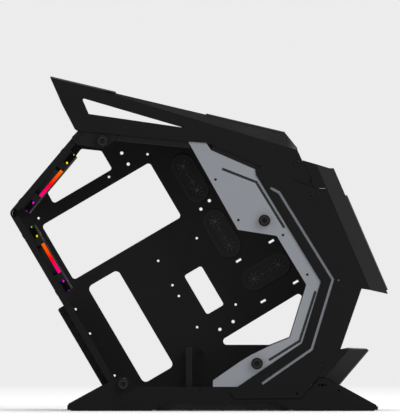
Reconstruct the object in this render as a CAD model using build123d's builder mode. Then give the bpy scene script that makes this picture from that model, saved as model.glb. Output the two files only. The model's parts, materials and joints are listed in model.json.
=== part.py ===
from build123d import *
import math
import os

# Open-frame mid-tower computer case, in millimetres.
# X runs from the rear to the front, Y from the near side to the far side, Z up from the floor.
os.makedirs("parts", exist_ok=True)

# Widths: two layers of plates on each side of the frame
frame_half_width = 112.0
plate_thickness = 3.0
sheet = 1.2
outer_layer = frame_half_width + plate_thickness
outer_face = outer_layer + plate_thickness
fit_gap = 0.2

# Screws and holes
screw_radius = 1.5
screw_hole_radius = 1.7
screw_head_radius = 2.3
screw_head_height = 1.2
screw_reach = 4.0
ring_head_radius = 4.6
ring_head_height = 2.4
knob_hole_radius = 3.2

# Rear wall: two flat webs that meet at a bend, seen from the side
rear_corner_x = -305.5
rear_corner_z = 318.8
lower_tilt = 30.4
upper_tilt = 40.2
lower_end_z = 34.2
lower_length = (rear_corner_z - lower_end_z) / math.cos(math.radians(lower_tilt))
upper_length = 176.0
rear_bend_radius = 9.0
flange_width = 10.6
flange_notch = 11.7

# Board interface, along the lower web and inwards from it
row_1 = 31.0
row_2 = row_1 + 157.48
row_3 = row_1 + 281.94
row_short = row_1 + 203.2
column_1 = 12.1
column_1_top = column_1 + 22.86
column_2 = column_1 + 154.94
column_3 = column_1 + 227.33
board_hole_radius = 1.9
cable_depth = 42.0
tray_face_y = frame_half_width - cable_depth
io_start = 5.0
io_length = 158.75
io_width = 44.45
io_far_y = tray_face_y - 6.7

# Expansion slots
slot_pitch = 20.32
slot_count = 7
first_slot = 175.8
slot_width = 12.5
slot_length = 103.0
slot_far_y = tray_face_y - 14.0
slot_near_y = slot_far_y - slot_length
cover_thickness = 0.9
cover_width = 18.4
ledge_y = slot_near_y + 2.0
ledge_depth = 12.0
slot_screw_offset = 9.8
slot_screw_depth = 5.6

# Fans
fan_size = 120.0
fan_depth = 25.0
fan_hole_pitch = fan_size - 15.0
fan_margin = 4.0
fan_centre_y = fan_size / 2 + fan_margin - frame_half_width
lower_fan_centre = 97.3
upper_fan_centre = 79.3
ring_radius = fan_size / 2
duct_radius = ring_radius - 2.5
corner_block = fan_size * 0.275
light_height = 5.2
rim_height = 2.2
hub_radius = fan_size / 6
shaft_radius = 1.5
fan_screw_radius = 2.1
shaft_clearance = 0.05
blade_count = 9
blade_radius = duct_radius - 2.0
guard_rings = 5
guard_radius = fan_size * 0.45
guard_pitch = fan_size * 0.075
guard_slot = 6.5
guard_spoke = 3.0

# Foot frame
pad_height = 1.6
arch_z = 14.4
base_top = 38.4
pan_rear_x = -70.0
pan_front_x = 146.0

# Roof: the side plates' top edge, and the ridge lines above it
roof_knee_x = -151.0
roof_knee_z = 512.2
roof_front_x = 158.3
roof_front_z = 419.3
ridge_rise = 2.5
ridge_drop_x = 139.4
ridge_drop_z = 446.4
ridge_knee_z = roof_knee_z + ridge_rise
ridge_slope = (ridge_knee_z - ridge_drop_z) / (ridge_drop_x - roof_knee_x)
tip_x = -238.9
tip_z = ridge_knee_z + ridge_slope * (roof_knee_x - tip_x)
ridge_rear_half = outer_face - 4.0
ridge_front_half = outer_face - 45.0
roof_thickness = 2.2
wing_thickness = 2.6
wing_rear = -90.8
wing_front = 17.0
roof_plate_thickness = 2.0
roof_plate_rear_x = 11.1
roof_plate_front_x = 138.4
roof_plate_margin = 1.5

# Front cover: a flank on each side and a narrower face
flank_depth = 23.2
face_half_width = outer_face - 33.0
cover_wall = 2.5
front_tilt = 23.3
fin_tilt = 40.3
face_plate_thickness = 2.8
face_plate_margin = 2.0
front_foot = (188.6, 397.1)
fin_foot = (242.0, 100.0)
front_plate_span = (65.5, 231.5)
fin_plate_span = (-18.0, 58.0)
front_cheek_length = 42.4
fin_cheek_length = 59.6
edge_gap = 0.1


# Each piece is written to its own file, which carries the piece's name
def save(piece, name):
    piece.label = name
    export_step(piece, f"parts/{name}.step")


# A piece of the near side and its mirror image on the far side
def save_pair(piece, name):
    save(piece, f"{name}_near")
    save(mirror(piece, about=Plane.XZ), f"{name}_far")


# The plane of a side plate's inner face, looking at the near side
def side_plane(y):
    return Plane(origin=(0, y, 0), x_dir=(1, 0, 0), z_dir=(0, -1, 0))


# A closed outline through points (x, z, corner radius)
def closed_outline(points):
    FilletPolyline(*[(x, z) for x, z, r in points], radius=[r for x, z, r in points], close=True)


# A flat plate of the near side, with windows and with holes as (radius, points)
def near_plate(outline, layer, thickness=plate_thickness, windows=(), holes=(), strips=()):
    with BuildPart() as plate:
        with BuildSketch(side_plane(-layer)):
            with BuildLine():
                closed_outline(outline)
            make_face()
            for window in windows:
                with BuildLine():
                    closed_outline(window)
                make_face(mode=Mode.SUBTRACT)
            for radius, points in holes:
                with Locations(*points):
                    Circle(radius, mode=Mode.SUBTRACT)
            for width, points in strips:
                with BuildLine() as centre_line:
                    Polyline(*points)
                trace(centre_line.line, line_width=width, mode=Mode.SUBTRACT)
        extrude(amount=thickness)
    return plate.part


def unit(angle):
    return math.sin(math.radians(angle)), math.cos(math.radians(angle))


# A point on the line where a cover's flanks start, at a distance down the cover
def foot_line(foot, tilt, forwards, down):
    sin, cos = unit(tilt)
    return foot[0] + forwards * sin * down, foot[1] - cos * down


# The same line at height z, less a gap
def front_edge(z):
    return front_foot[0] + (front_foot[1] - z) * math.tan(math.radians(front_tilt)) - edge_gap


lower_sin, lower_cos = unit(lower_tilt)
upper_sin, upper_cos = unit(upper_tilt)


# A point of the lower web's frame: down the web and inwards from it
def lower_point(down, inwards):
    x = rear_corner_x + down * lower_sin + inwards * lower_cos
    z = rear_corner_z - down * lower_cos + inwards * lower_sin
    return x, z


# A point of the upper web's frame: up the web and inwards from it
def upper_point(up, inwards):
    x = rear_corner_x + up * upper_sin + inwards * upper_cos
    z = rear_corner_z + up * upper_cos - inwards * upper_sin
    return x, z


def lower_plane(down, y, inwards=0.0):
    x, z = lower_point(down, inwards)
    return Plane(origin=(x, y, z), x_dir=(lower_sin, 0, -lower_cos), z_dir=(lower_cos, 0, lower_sin))


def upper_plane(up, y, inwards=0.0):
    x, z = upper_point(up, inwards)
    return Plane(origin=(x, y, z), x_dir=(upper_sin, 0, upper_cos), z_dir=(upper_cos, 0, -upper_sin))


# Screw places, shared by the plates, the screws and the bars
knob_points = [(-155.2, 433.7), (105.1, 306.1), (93.2, 76.3), (-121.6, 43.1)]
top_bar_point = (157.8, 397.6)
front_bar_point = (180.0, 345.7)
lower_bar_point = (193.8, 70.7)
bar_points = [top_bar_point, front_bar_point, lower_bar_point]
rear_foot_bar_point = (-122.7, 21.4)
front_foot_bar_point = (218.9, 19.1)
foot_bar_points = [rear_foot_bar_point, front_foot_bar_point]
top_screw_points = [(-150.4, 458.5), (-4.1, 436.6), (95.8, 421.8)]
bracket_screw_points = [upper_point(171.0, 7.0), upper_point(161.4, 7.0)]
rear_foot_screw_point = lower_point(324.0, 7.0)
seam_screw_points = [(106.6, 368.6)]
front_screw_points = [(201.5, 207.6), (169.7, 105.9), (254.1, 195.9), (219.5, 99.5)]
base_hole_points = [(1.3, 33.7), (157.5, 27.8), (224.9, 32.9), (192.9, 41.5), (203.5, 41.5)]
base_large_hole_point = (198.2, 41.4)
large_hole_radius = 2.4
front_hole_point = (224.2, 210.2)
pan_screw_points = [(-17.6, 33.9), (32.5, 28.8), (71.4, 28.4), (130.4, 28.4)]

# Side plates
top_side_outline = [
    (tip_x, tip_z, 0), (roof_knee_x, ridge_knee_z, 0), (roof_knee_x, roof_knee_z, 0),
    (roof_front_x, roof_front_z, 2), (167.6, 398.5, 0),
    (179.4, 373.8, 4), (175.0, 363.8, 6), (141.9, 375.2, 0), (100.5, 392.8, 0), (49.8, 415.7, 0),
    (12.1, 430.8, 14), (-17.0, 432.9, 0), (-128.8, 443.7, 0), (-198.5, 450.6, 8), (-220.1, 492.4, 0),
]
top_window = [(-189.9, 504.6, 2), (-19.2, 454.6, 0.3), (-178.3, 477.6, 3)]
front_side_outline = [
    (90.2, 388.1, 0), (100.5, 392.8, 0), (141.9, 375.2, 0), (184.0, 357.6, 0), (front_edge(357.6), 357.6, 3),
    (front_edge(194.3), 194.3, 0), (261.3, 196.5, 0), (226.0, 95.0, 6), (191.4, 53.8, 0), (163.1, 21.1, 3),
    (56.3, 20.1, 5), (50.0, 33.0, 5), (63.0, 39.6, 6), (146.3, 96.4, 0), (165.4, 109.0, 6),
    (195.6, 207.6, 4), (91.6, 379.3, 0),
]
front_strip = [(114.9, 358.7), (129.0, 350.9), (215.1, 211.2), (181.2, 99.3), (101.4, 43.8)]
front_strip_width = 4.0
insert_outline = [
    (-17.0, 432.3, 0), (-14.0, 440.0, 3), (8.0, 439.0, 3), (12.4, 429.4, 0), (19.3, 419.1, 3),
    (89.4, 388.6, 0), (116.0, 378.0, 0), (140.0, 362.0, 0), (228.0, 211.0, 0), (192.0, 92.0, 0),
    (130.0, 46.0, 0), (115.0, 38.9, 0),
    (22.5, 38.9, 0), (22.5, 49.2, 0), (65.4, 78.9, 8), (83.9, 90.2, 0), (113.6, 104.6, 0),
    (146.1, 117.5, 3), (172.5, 203.0, 3), (125.0, 281.5, 5), (62.4, 291.2, 3),
]
upper_channel = [(37.1, 389.2), (91.9, 367.8), (136.9, 294.3)]
lower_channel = [(187.3, 192.7), (161.7, 112.5), (112.3, 81.5)]
channel_width = 4.2
insert_hole_radius = 2.1
insert_hole_points = [(26.5, 372.0), (63.3, 306.9), (134.9, 282.8), (174.1, 219.2)]
corner_outline = [
    (-195.1, 449.8, 0), (-205.5, 438.9, 3), (-196.5, 428.3, 4), (-155.0, 421.3, 6), (-135.6, 434.7, 0),
    (-128.8, 442.2, 0), (-150.0, 450.0, 0), (-150.4, 464.0, 4), (-190.0, 456.0, 0),
]
upper_rail_outline = [
    (-127.6, 442.4, 0), (-128.4, 448.0, 0), (-25.0, 438.5, 0), (-18.2, 432.0, 0), (-15.0, 422.3, 0),
    (-133.8, 434.4, 0),
]
front_rail_outline = [
    (20.9, 419.5, 0), (24.0, 429.0, 0), (100.0, 397.0, 0), (138.0, 381.0, 0), (160.0, 376.0, 0),
    (176.0, 384.0, 0), (188.0, 376.0, 0), (194.0, 357.0, 0), (186.0, 353.5, 0), (160.0, 366.0, 0),
    (141.0, 363.5, 0), (117.0, 379.2, 0), (92.0, 388.6, 0),
]
base_outline = [
    (-211.8, pad_height, 0), (-211.8, 9.2, 1), (-137.4, 49.7, 6), (-120.0, 56.4, 10),
    (-103.0, 40.4, 8), (-93.5, base_top, 0), (182.0, base_top, 0), (193.0, 52.6, 4), (203.5, 53.2, 8),
    (287.7, 7.0, 1), (287.7, pad_height, 0), (146.3, pad_height, 3), (121.8, arch_z, 6),
    (-51.4, arch_z, 6), (-69.9, pad_height, 3),
]

top_side = near_plate(
    top_side_outline, outer_layer, windows=[top_window],
    holes=[(screw_hole_radius, top_screw_points + [top_bar_point])],
)
save_pair(top_side, "top_side")

front_side = near_plate(
    front_side_outline, outer_layer, strips=[(front_strip_width, front_strip)],
    holes=[
        (screw_hole_radius, seam_screw_points + front_screw_points + [front_bar_point, lower_bar_point]),
        (screw_hole_radius, pan_screw_points[2:] + base_hole_points[1:2] + [front_hole_point]),
    ],
)
save_pair(front_side, "front_side")

insert_plate = near_plate(
    insert_outline, frame_half_width,
    strips=[(channel_width, upper_channel), (channel_width, lower_channel)],
    holes=[
        (insert_hole_radius, insert_hole_points),
        (screw_hole_radius, seam_screw_points + front_screw_points[:2]),
        (screw_hole_radius, top_screw_points[1:2]),
        (knob_hole_radius, knob_points[1:3]),
    ],
)
save_pair(insert_plate, "insert_plate")

corner_bracket = near_plate(
    corner_outline, frame_half_width,
    holes=[
        (screw_hole_radius, bracket_screw_points + [top_screw_points[0]]),
        (knob_hole_radius, knob_points[:1]),
    ],
)
save_pair(corner_bracket, "corner_bracket")

save_pair(near_plate(upper_rail_outline, frame_half_width), "upper_rail")
save_pair(near_plate(front_rail_outline, frame_half_width), "front_rail")

# Foot frames, each with a flange turned inwards under both feet, and rubber pads
foot_flange = 12.0
foot_spans = [(-208.0, -73.0), (150.0, 284.0)]
pad_width = 9.0
pad_inset = 2.0

base_outline_holes = [
    (screw_hole_radius, base_hole_points + pan_screw_points + foot_bar_points + [rear_foot_screw_point]),
    (knob_hole_radius, knob_points[3:]),
    (large_hole_radius, [base_large_hole_point]),
]
with BuildPart() as base_side:
    add(near_plate(base_outline, frame_half_width, holes=base_outline_holes))
    for rear_x, front_x in foot_spans:
        with BuildSketch(Plane.XY.offset(pad_height)):
            with Locations(((rear_x + front_x) / 2, -frame_half_width)):
                Rectangle(front_x - rear_x, foot_flange, align=(Align.CENTER, Align.MIN))
        extrude(amount=plate_thickness)
save_pair(base_side.part, "base_side")

with BuildPart() as foot_pads:
    with BuildSketch():
        for rear_x, front_x in foot_spans:
            for side in (-1, 1):
                pad_y = side * (frame_half_width + plate_thickness / 2 - pad_width / 2)
                with Locations(((rear_x + front_x) / 2, pad_y)):
                    RectangleRounded(front_x - rear_x - 2 * pad_inset, pad_width, pad_width / 3)
    extrude(amount=pad_height)
save(foot_pads.part, "foot_pads")

# Rear wall: one sheet bent at the corner, with a flange along each side of both webs
with BuildPart() as rear_wall:
    with BuildSketch(side_plane(frame_half_width)):
        with BuildLine():
            FilletPolyline(
                lower_point(lower_length, 0), (rear_corner_x, rear_corner_z), upper_point(upper_length, 0),
                radius=rear_bend_radius,
            )
            offset(amount=sheet, side=Side.RIGHT)
        make_face()
    extrude(amount=2 * frame_half_width)
    for y in (frame_half_width, sheet - frame_half_width):
        with BuildSketch(side_plane(y)):
            for point, length in ((lower_point, lower_length), (upper_point, upper_length)):
                with BuildLine():
                    Polyline(
                        point(flange_notch, 0), point(length, 0), point(length, flange_width),
                        point(flange_notch, flange_width), close=True,
                    )
                make_face()
            with Locations(*bracket_screw_points, rear_foot_screw_point):
                Circle(screw_hole_radius, mode=Mode.SUBTRACT)
        extrude(amount=sheet)
    with BuildSketch(lower_plane(io_start + io_length / 2, io_far_y - io_width / 2)):
        Rectangle(io_length, io_width)
    extrude(amount=2 * sheet, both=True, mode=Mode.SUBTRACT)
    slot_middle = first_slot + slot_pitch * (slot_count - 1) / 2
    with BuildSketch(lower_plane(slot_middle, (slot_near_y + slot_far_y) / 2)):
        with GridLocations(slot_pitch, 1, slot_count, 1):
            Rectangle(slot_width, slot_far_y - slot_near_y)
    extrude(amount=2 * sheet, both=True, mode=Mode.SUBTRACT)
    lower_fan_place = lower_plane(lower_fan_centre, fan_centre_y)
    upper_fan_place = upper_plane(upper_fan_centre, fan_centre_y)
    for fan_plane in (lower_fan_place, upper_fan_place):
        with BuildSketch(fan_plane):
            for ring in range(guard_rings):
                Circle(guard_radius - guard_pitch * ring)
                Circle(guard_radius - guard_pitch * ring - guard_slot, mode=Mode.SUBTRACT)
            for angle in (45, -45):
                Rectangle(guard_spoke, fan_size, rotation=angle, mode=Mode.SUBTRACT)
            with GridLocations(fan_hole_pitch, fan_hole_pitch, 2, 2):
                Circle(fan_screw_radius + 0.2)
        extrude(amount=2 * sheet, both=True, mode=Mode.SUBTRACT)
save(rear_wall.part, "rear_wall")

# Ledge for the slot covers' tabs, folded behind them
ledge_start = 174.9
ledge_length = 142.1
ledge_wall = 13.0
ledge_middle = ledge_start + ledge_length / 2
slot_screw_points = [
    lower_point(first_slot + slot_pitch * number + slot_screw_offset, -slot_screw_depth)
    for number in range(slot_count)
]
with BuildPart() as slot_bracket:
    with BuildSketch(lower_plane(ledge_middle, ledge_y, -ledge_depth)):
        Rectangle(ledge_length, sheet, align=(Align.CENTER, Align.MIN))
    extrude(amount=ledge_depth)
    with BuildSketch(lower_plane(ledge_middle, ledge_y, -ledge_depth)):
        Rectangle(ledge_length, ledge_wall, align=(Align.CENTER, Align.MIN))
    extrude(amount=sheet)
    with BuildSketch(side_plane(ledge_y)):
        with Locations(*slot_screw_points):
            Circle(screw_hole_radius)
    extrude(amount=-2 * sheet, mode=Mode.SUBTRACT)
save(slot_bracket.part, "slot_bracket")

# Slot covers: a strip inside the web, and a tab that passes out over the ledge
tab_rear = -2.3
tab_neck = 7.8
tab_width = 18.6
tab_reach = 10.5
cover_far_y = slot_far_y + 3.0
with BuildPart() as slot_covers:
    for number in range(slot_count):
        slot = first_slot + slot_pitch * number
        with BuildSketch(lower_plane(slot, ledge_y - cover_thickness, sheet)):
            Rectangle(cover_width, cover_far_y - ledge_y + cover_thickness, align=(Align.CENTER, Align.MIN))
        extrude(amount=cover_thickness)
        with BuildSketch(lower_plane(slot + tab_rear, ledge_y, sheet)):
            Rectangle(tab_neck, cover_thickness, align=(Align.MIN, Align.MAX))
        extrude(amount=-sheet - fit_gap)
        with BuildSketch(lower_plane(slot + tab_rear, ledge_y, -fit_gap)):
            Rectangle(tab_width, cover_thickness, align=(Align.MIN, Align.MAX))
        extrude(amount=-tab_reach)
    with BuildSketch(side_plane(ledge_y)):
        with Locations(*slot_screw_points):
            Circle(screw_hole_radius)
    extrude(amount=2 * sheet, mode=Mode.SUBTRACT)
save(slot_covers.part, "slot_covers")


# Screws of the near side: a head with a hexagon socket on face y, and a shank inwards
def near_screws(points, y, reach, head_radius=screw_head_radius, head_height=screw_head_height):
    with BuildPart() as screws:
        with BuildSketch(side_plane(y)):
            with Locations(*points):
                Circle(head_radius)
        extrude(amount=head_height)
        with BuildSketch(side_plane(y)):
            with Locations(*points):
                Circle(screw_radius)
        extrude(amount=-reach)
        with BuildSketch(side_plane(y - head_height)):
            with Locations(*points):
                RegularPolygon(head_radius / 2, 6)
        extrude(amount=-head_height / 2, mode=Mode.SUBTRACT)
    return screws.part


save(near_screws(slot_screw_points, ledge_y - cover_thickness, screw_reach, 3.0), "slot_screws")

# Motherboard tray: an upright sheet with windows, folded back to the far side plates
tray_gap = 0.3
tray_edge = sheet + tray_gap
inner_corner = tray_edge * math.tan(math.radians((lower_tilt + upper_tilt) / 2))
tray_bottom = arch_z + sheet
tray_flange = frame_half_width - tray_face_y
foot_fold = 12.0
foot_fold_length = 120.0
foot_fold_x = -5.0
tray_end_gap = 12.0
tray_top = [(-130.0, 441.0), (-20.0, 430.6)]
tray_nose = [(24.0, 430.0)]
tray_front = [(106.0, 395.0), (181.6, 207.3), (154.3, 107.7), (60.0, 42.0)]
tray_outline = [
    (*lower_point(lower_length - tray_end_gap, tray_edge), 0),
    (*lower_point(inner_corner, tray_edge), rear_bend_radius),
    (*upper_point(upper_length - tray_end_gap, tray_edge), 3),
    *[(x, z, 0) for x, z in tray_top + tray_nose + tray_front],
    (60.0, tray_bottom, 0), (-70.0, tray_bottom, 0),
    (-70.0, 30.0, 4), (-118.0, 30.0, 4),
]
lower_window = [(24.3, 104.9, 5.8), (169.0, 193.0, 5.8), (151.0, 104.9, 3)]
rear_window = [
    (-190.4, 422.0, 4), (-157.8, 418.5, 5), (-140.6, 389.2, 4), (-235.4, 333.3, 5), (-245.0, 351.1, 4),
]


# A plane in the tray's face y, turned with the board: down the web, and inwards from it
def tray_plane(down, inwards, y, turned=False):
    x, z = lower_point(down, inwards)
    x_dir = (lower_cos, 0, lower_sin) if turned else (lower_sin, 0, -lower_cos)
    return Plane(origin=(x, y, z), x_dir=x_dir, z_dir=(0, -1, 0))


grommet_length = 85.0
grommet_width = 40.0
grommet_lip = 3.0
grommet_proud = 1.8
star_pitch = 45.0
membrane_width = 25.8
slit = 0.4
grommets = [("grommet_upper", 99.0, 279.1, False), ("grommet_middle", 202.2, 278.5, False),
            ("grommet_lower", 292.0, 308.9, True)]
board_holes = [
    (row_1, column_1_top), (row_1, column_2), (row_1, column_3),
    (row_2, column_1), (row_2, column_2), (row_2, column_3),
    (row_3, column_1), (row_3, column_2), (row_3, column_3),
    (row_short, column_1), (row_short, column_2), (row_short + slot_pitch, column_2),
]
pass_holes = [(8.3, 204.4), (28.9, 204.4), (146.4, 287.7), (151.3, 269.0), (334.7, 221.8), (334.7, 197.0)]
tie_slots = [(254.0, 340.9), (254.0, 279.5), (330.8, 341.5), (330.8, 280.5)]
pass_hole_radius = 2.6
tie_slot_size = (3.5, 9.2)
tray_screw_place = (352.5, 150.6)

# Windows turned with the board: place, size and corner radius
board_windows = [
    (95.0, 134.5, 102.0, 202.0, 5.6), (257.8, 75.0, 180.6, 56.5, 8.0), (267.0, 207.0, 73.0, 32.0, 4.0),
]

with BuildPart() as motherboard_tray:
    with BuildSketch(side_plane(tray_face_y)):
        with BuildLine():
            closed_outline(tray_outline)
        make_face()
        for window in (lower_window, rear_window):
            with BuildLine():
                closed_outline(window)
            make_face(mode=Mode.SUBTRACT)
    extrude(amount=-sheet)
    with BuildSketch(tray_plane(0, 0, tray_face_y)):
        for down, inwards, length, width, radius in board_windows:
            with Locations((down, inwards)):
                RectangleRounded(length, width, radius)
        with Locations(*board_holes):
            Circle(board_hole_radius)
        with Locations(*pass_holes):
            Circle(pass_hole_radius)
        with Locations(*tie_slots):
            Rectangle(*tie_slot_size)
        with Locations(tray_screw_place):
            Circle(screw_hole_radius)
        for name, down, inwards, turned in grommets:
            with Locations((down, inwards)):
                hole_length = grommet_length - 2 * grommet_lip
                SlotOverall(hole_length, grommet_width - 2 * grommet_lip, rotation=90 if turned else 0)
    extrude(amount=-sheet, mode=Mode.SUBTRACT)
    with BuildSketch(side_plane(tray_face_y)):
        for edge in (tray_front[:2], tray_top):
            with BuildLine():
                Polyline(*edge)
                offset(amount=sheet, side=Side.RIGHT)
            make_face()
    extrude(amount=-tray_flange)
    with BuildSketch(Plane.XY.offset(tray_bottom)):
        with Locations((foot_fold_x, tray_face_y)):
            Rectangle(foot_fold_length, foot_fold, align=(Align.CENTER, Align.MIN))
    extrude(amount=sheet)
save(motherboard_tray.part, "motherboard_tray")

tray_screw_point = lower_point(*tray_screw_place)
tray_reach = sheet + screw_reach
tray_screw = near_screws([tray_screw_point], tray_face_y, tray_reach, ring_head_radius, ring_head_height)
save(tray_screw, "tray_screw")

# Rubber grommets with star-shaped slits
for name, down, inwards, turned in grommets:
    near_face = tray_plane(down, inwards, tray_face_y, turned)
    far_face = tray_plane(down, inwards, tray_face_y + sheet, turned)
    waist_length = grommet_length - 2 * grommet_lip - fit_gap
    waist_width = grommet_width - 2 * grommet_lip - fit_gap
    membrane_length = star_pitch + membrane_width
    with BuildPart() as grommet:
        with BuildSketch(near_face):
            SlotOverall(grommet_length, grommet_width)
        extrude(amount=grommet_proud)
        fillet(grommet.faces().sort_by(Axis.Y)[0].edges(), grommet_proud / 2)
        with BuildSketch(near_face):
            SlotOverall(waist_length, waist_width)
        extrude(amount=-sheet)
        with BuildSketch(far_face):
            SlotOverall(grommet_length, grommet_width)
        extrude(amount=-grommet_proud)
        with BuildSketch(near_face):
            SlotOverall(membrane_length, membrane_width)
        extrude(amount=2 * grommet_proud, both=True, mode=Mode.SUBTRACT)
        with BuildSketch(near_face):
            SlotOverall(membrane_length, membrane_width)
            with Locations((-star_pitch / 2, 0), (star_pitch / 2, 0)):
                for ray in range(4):
                    Rectangle(membrane_width - 5.0, slit, rotation=45 * ray, mode=Mode.SUBTRACT)
            Rectangle(star_pitch, slit, mode=Mode.SUBTRACT)
            with Locations((-star_pitch / 6, 0), (star_pitch / 6, 0)):
                Rectangle(slit, membrane_width / 3, mode=Mode.SUBTRACT)
        extrude(amount=-sheet)
    save(grommet.part, name)

# Floor pan between the foot frames, and the dust filter's frame below it
pan_length = pan_front_x - pan_rear_x
pan_middle = (pan_rear_x + pan_front_x) / 2
pan_slot_pitch = 12.0
pan_slot_count = 15
pan_slot_rows = 60.0
pan_slot_length = 52.0
pan_slot_width = 7.0
filter_half_width = frame_half_width - 27.0
filter_rim = 9.0
filter_bar = 3.0
with BuildPart() as floor_pan:
    with BuildSketch(Plane.XY.offset(arch_z)):
        with Locations((pan_middle, 0)):
            Rectangle(pan_length, 2 * (frame_half_width - sheet))
            with GridLocations(pan_slot_pitch, pan_slot_rows, pan_slot_count, 2):
                SlotOverall(pan_slot_length, pan_slot_width, rotation=90, mode=Mode.SUBTRACT)
    extrude(amount=sheet)
save(floor_pan.part, "floor_pan")

# The strips along both edges of the pan, which the side plates are screwed to
with BuildPart() as pan_strip:
    with BuildSketch(side_plane(sheet - frame_half_width)):
        with Locations((pan_middle, arch_z)):
            Rectangle(pan_length, base_top - arch_z - fit_gap, align=(Align.CENTER, Align.MIN))
        with Locations(*pan_screw_points):
            Circle(screw_hole_radius, mode=Mode.SUBTRACT)
    extrude(amount=sheet)
save_pair(pan_strip.part, "pan_strip")

with BuildPart() as dust_filter:
    with BuildSketch(Plane.XY.offset(pad_height)):
        with Locations((pan_middle, 0)):
            Rectangle(pan_length, 2 * filter_half_width)
            Rectangle(pan_length - 2 * filter_rim, 2 * (filter_half_width - filter_rim), mode=Mode.SUBTRACT)
            with GridLocations(1, 38.0, 1, 3):
                Rectangle(pan_length, filter_bar)
            with GridLocations(49.0, 1, 3, 1):
                Rectangle(filter_bar, 2 * filter_half_width)
    extrude(amount=arch_z - pad_height)
save(dust_filter.part, "dust_filter")

# Bracket for the power supply, standing on the pan
psu_front_x = -11.5
psu_height = 86.0
psu_near_y = 12.0 - frame_half_width
psu_width = tray_face_y - 20.0 - psu_near_y
psu_rim = 4.0
psu_flange = 9.2
psu_middle_y = psu_near_y + psu_width / 2
psu_border = 12.0
psu_top_border = 8.0
psu_hole_y = psu_width - psu_border
psu_hole_z = psu_height - 22.0
with BuildPart() as psu_bracket:
    psu_place = (psu_front_x, psu_middle_y, tray_bottom)
    with BuildSketch(Plane(origin=psu_place, x_dir=(0, 1, 0), z_dir=(1, 0, 0))):
        Rectangle(psu_width + 2 * psu_rim, psu_height, align=(Align.CENTER, Align.MIN))
        with Locations((0, psu_height / 2)):
            Rectangle(psu_width - 2 * psu_border, psu_height - 2 * psu_top_border, mode=Mode.SUBTRACT)
            with GridLocations(psu_hole_y, psu_hole_z, 2, 2):
                Circle(board_hole_radius, mode=Mode.SUBTRACT)
    extrude(amount=-sheet)
    for y in (psu_near_y - psu_rim + sheet, psu_near_y + psu_width + psu_rim):
        with BuildSketch(side_plane(y)):
            with Locations((psu_front_x, tray_bottom)):
                Rectangle(psu_flange, psu_height, align=(Align.MAX, Align.MIN))
        extrude(amount=sheet)
    with BuildSketch(Plane.XY.offset(tray_bottom)):
        with Locations((psu_front_x, psu_middle_y)):
            Rectangle(psu_flange, psu_width + 2 * psu_rim, align=(Align.MAX, Align.CENTER))
    extrude(amount=sheet)
save(psu_bracket.part, "psu_bracket")

# Fans, built on the inner face of the web with their axis inwards
motor_height = 3.0
rotor_gap = 0.5
light_base = fan_depth - rim_height - light_height
blade_tilt = 38.0
shaft_length = 12.0


def save_fan(fan_plane, name):
    light_plane = fan_plane.offset(light_base)
    with BuildPart() as frame:
        with BuildSketch(fan_plane):
            Circle(ring_radius)
            with GridLocations(fan_size - corner_block, fan_size - corner_block, 2, 2):
                Rectangle(corner_block, corner_block)
            Circle(duct_radius, mode=Mode.SUBTRACT)
        extrude(amount=light_base)
        with BuildSketch(light_plane):
            with GridLocations(fan_size - corner_block, fan_size - corner_block, 2, 2):
                Rectangle(corner_block, corner_block)
            Circle(ring_radius, mode=Mode.SUBTRACT)
        extrude(amount=light_height)
        with BuildSketch(fan_plane):
            Circle(hub_radius)
            for angle in (0, 90):
                Rectangle(2 * duct_radius + 1.0, motor_height, rotation=angle)
        extrude(amount=motor_height)
        with BuildSketch(fan_plane):
            Circle(shaft_radius)
        extrude(amount=motor_height + shaft_length)
        with BuildSketch(fan_plane):
            with GridLocations(fan_hole_pitch, fan_hole_pitch, 2, 2):
                Circle(fan_screw_radius + fit_gap / 2)
        extrude(amount=fan_depth, mode=Mode.SUBTRACT)
    save(frame.part, f"{name}_frame")

    rotor_plane = fan_plane.offset(motor_height + rotor_gap)
    rotor_height = light_base + 1.0 - motor_height
    blade_middle = (hub_radius + blade_radius) / 2 - 1.0
    with BuildPart() as rotor:
        with Locations(rotor_plane.offset(rotor_height / 2).location):
            with PolarLocations(blade_middle, blade_count):
                Box(blade_radius - hub_radius + 4.0, 1.8, 2 * rotor_height, rotation=(blade_tilt, 0, 0))
        with BuildSketch(rotor_plane):
            Circle(blade_radius)
        extrude(amount=rotor_height, mode=Mode.INTERSECT)
        with BuildSketch(rotor_plane):
            Circle(hub_radius)
        extrude(amount=rotor_height)
        with BuildSketch(rotor_plane):
            Circle(shaft_radius + shaft_clearance)
        extrude(amount=shaft_length, mode=Mode.SUBTRACT)
    save(rotor.part, f"{name}_rotor")

    with BuildPart() as light:
        with BuildSketch(light_plane):
            Circle(ring_radius - fit_gap)
            Circle(duct_radius, mode=Mode.SUBTRACT)
        extrude(amount=light_height)
    save(light.part, f"{name}_light")

    with BuildPart() as rim:
        with BuildSketch(light_plane.offset(light_height)):
            RectangleRounded(fan_size - 2.0, fan_size - 2.0, 4.0)
            Circle(duct_radius, mode=Mode.SUBTRACT)
        extrude(amount=rim_height)
    save(rim.part, f"{name}_rim")


fan_planes = [
    ("fan_lower", lower_plane(lower_fan_centre, fan_centre_y, sheet)),
    ("fan_upper", upper_plane(upper_fan_centre, fan_centre_y, sheet)),
]
for name, fan_plane in fan_planes:
    save_fan(fan_plane, name)

# Fan screws, from outside through the web
fan_screw_head = 3.8
fan_screw_face = 0.6
fan_screw_reach = 12.0
with BuildPart() as fan_screws:
    for name, fan_plane in fan_planes:
        web_face = fan_plane.offset(-sheet)
        with BuildSketch(web_face):
            with GridLocations(fan_hole_pitch, fan_hole_pitch, 2, 2):
                Circle(fan_screw_head)
        extrude(amount=-fan_screw_face)
        with BuildSketch(web_face):
            with GridLocations(fan_hole_pitch, fan_hole_pitch, 2, 2):
                Circle(fan_screw_radius)
        extrude(amount=fan_screw_reach)
save(fan_screws.part, "fan_screws")

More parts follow.
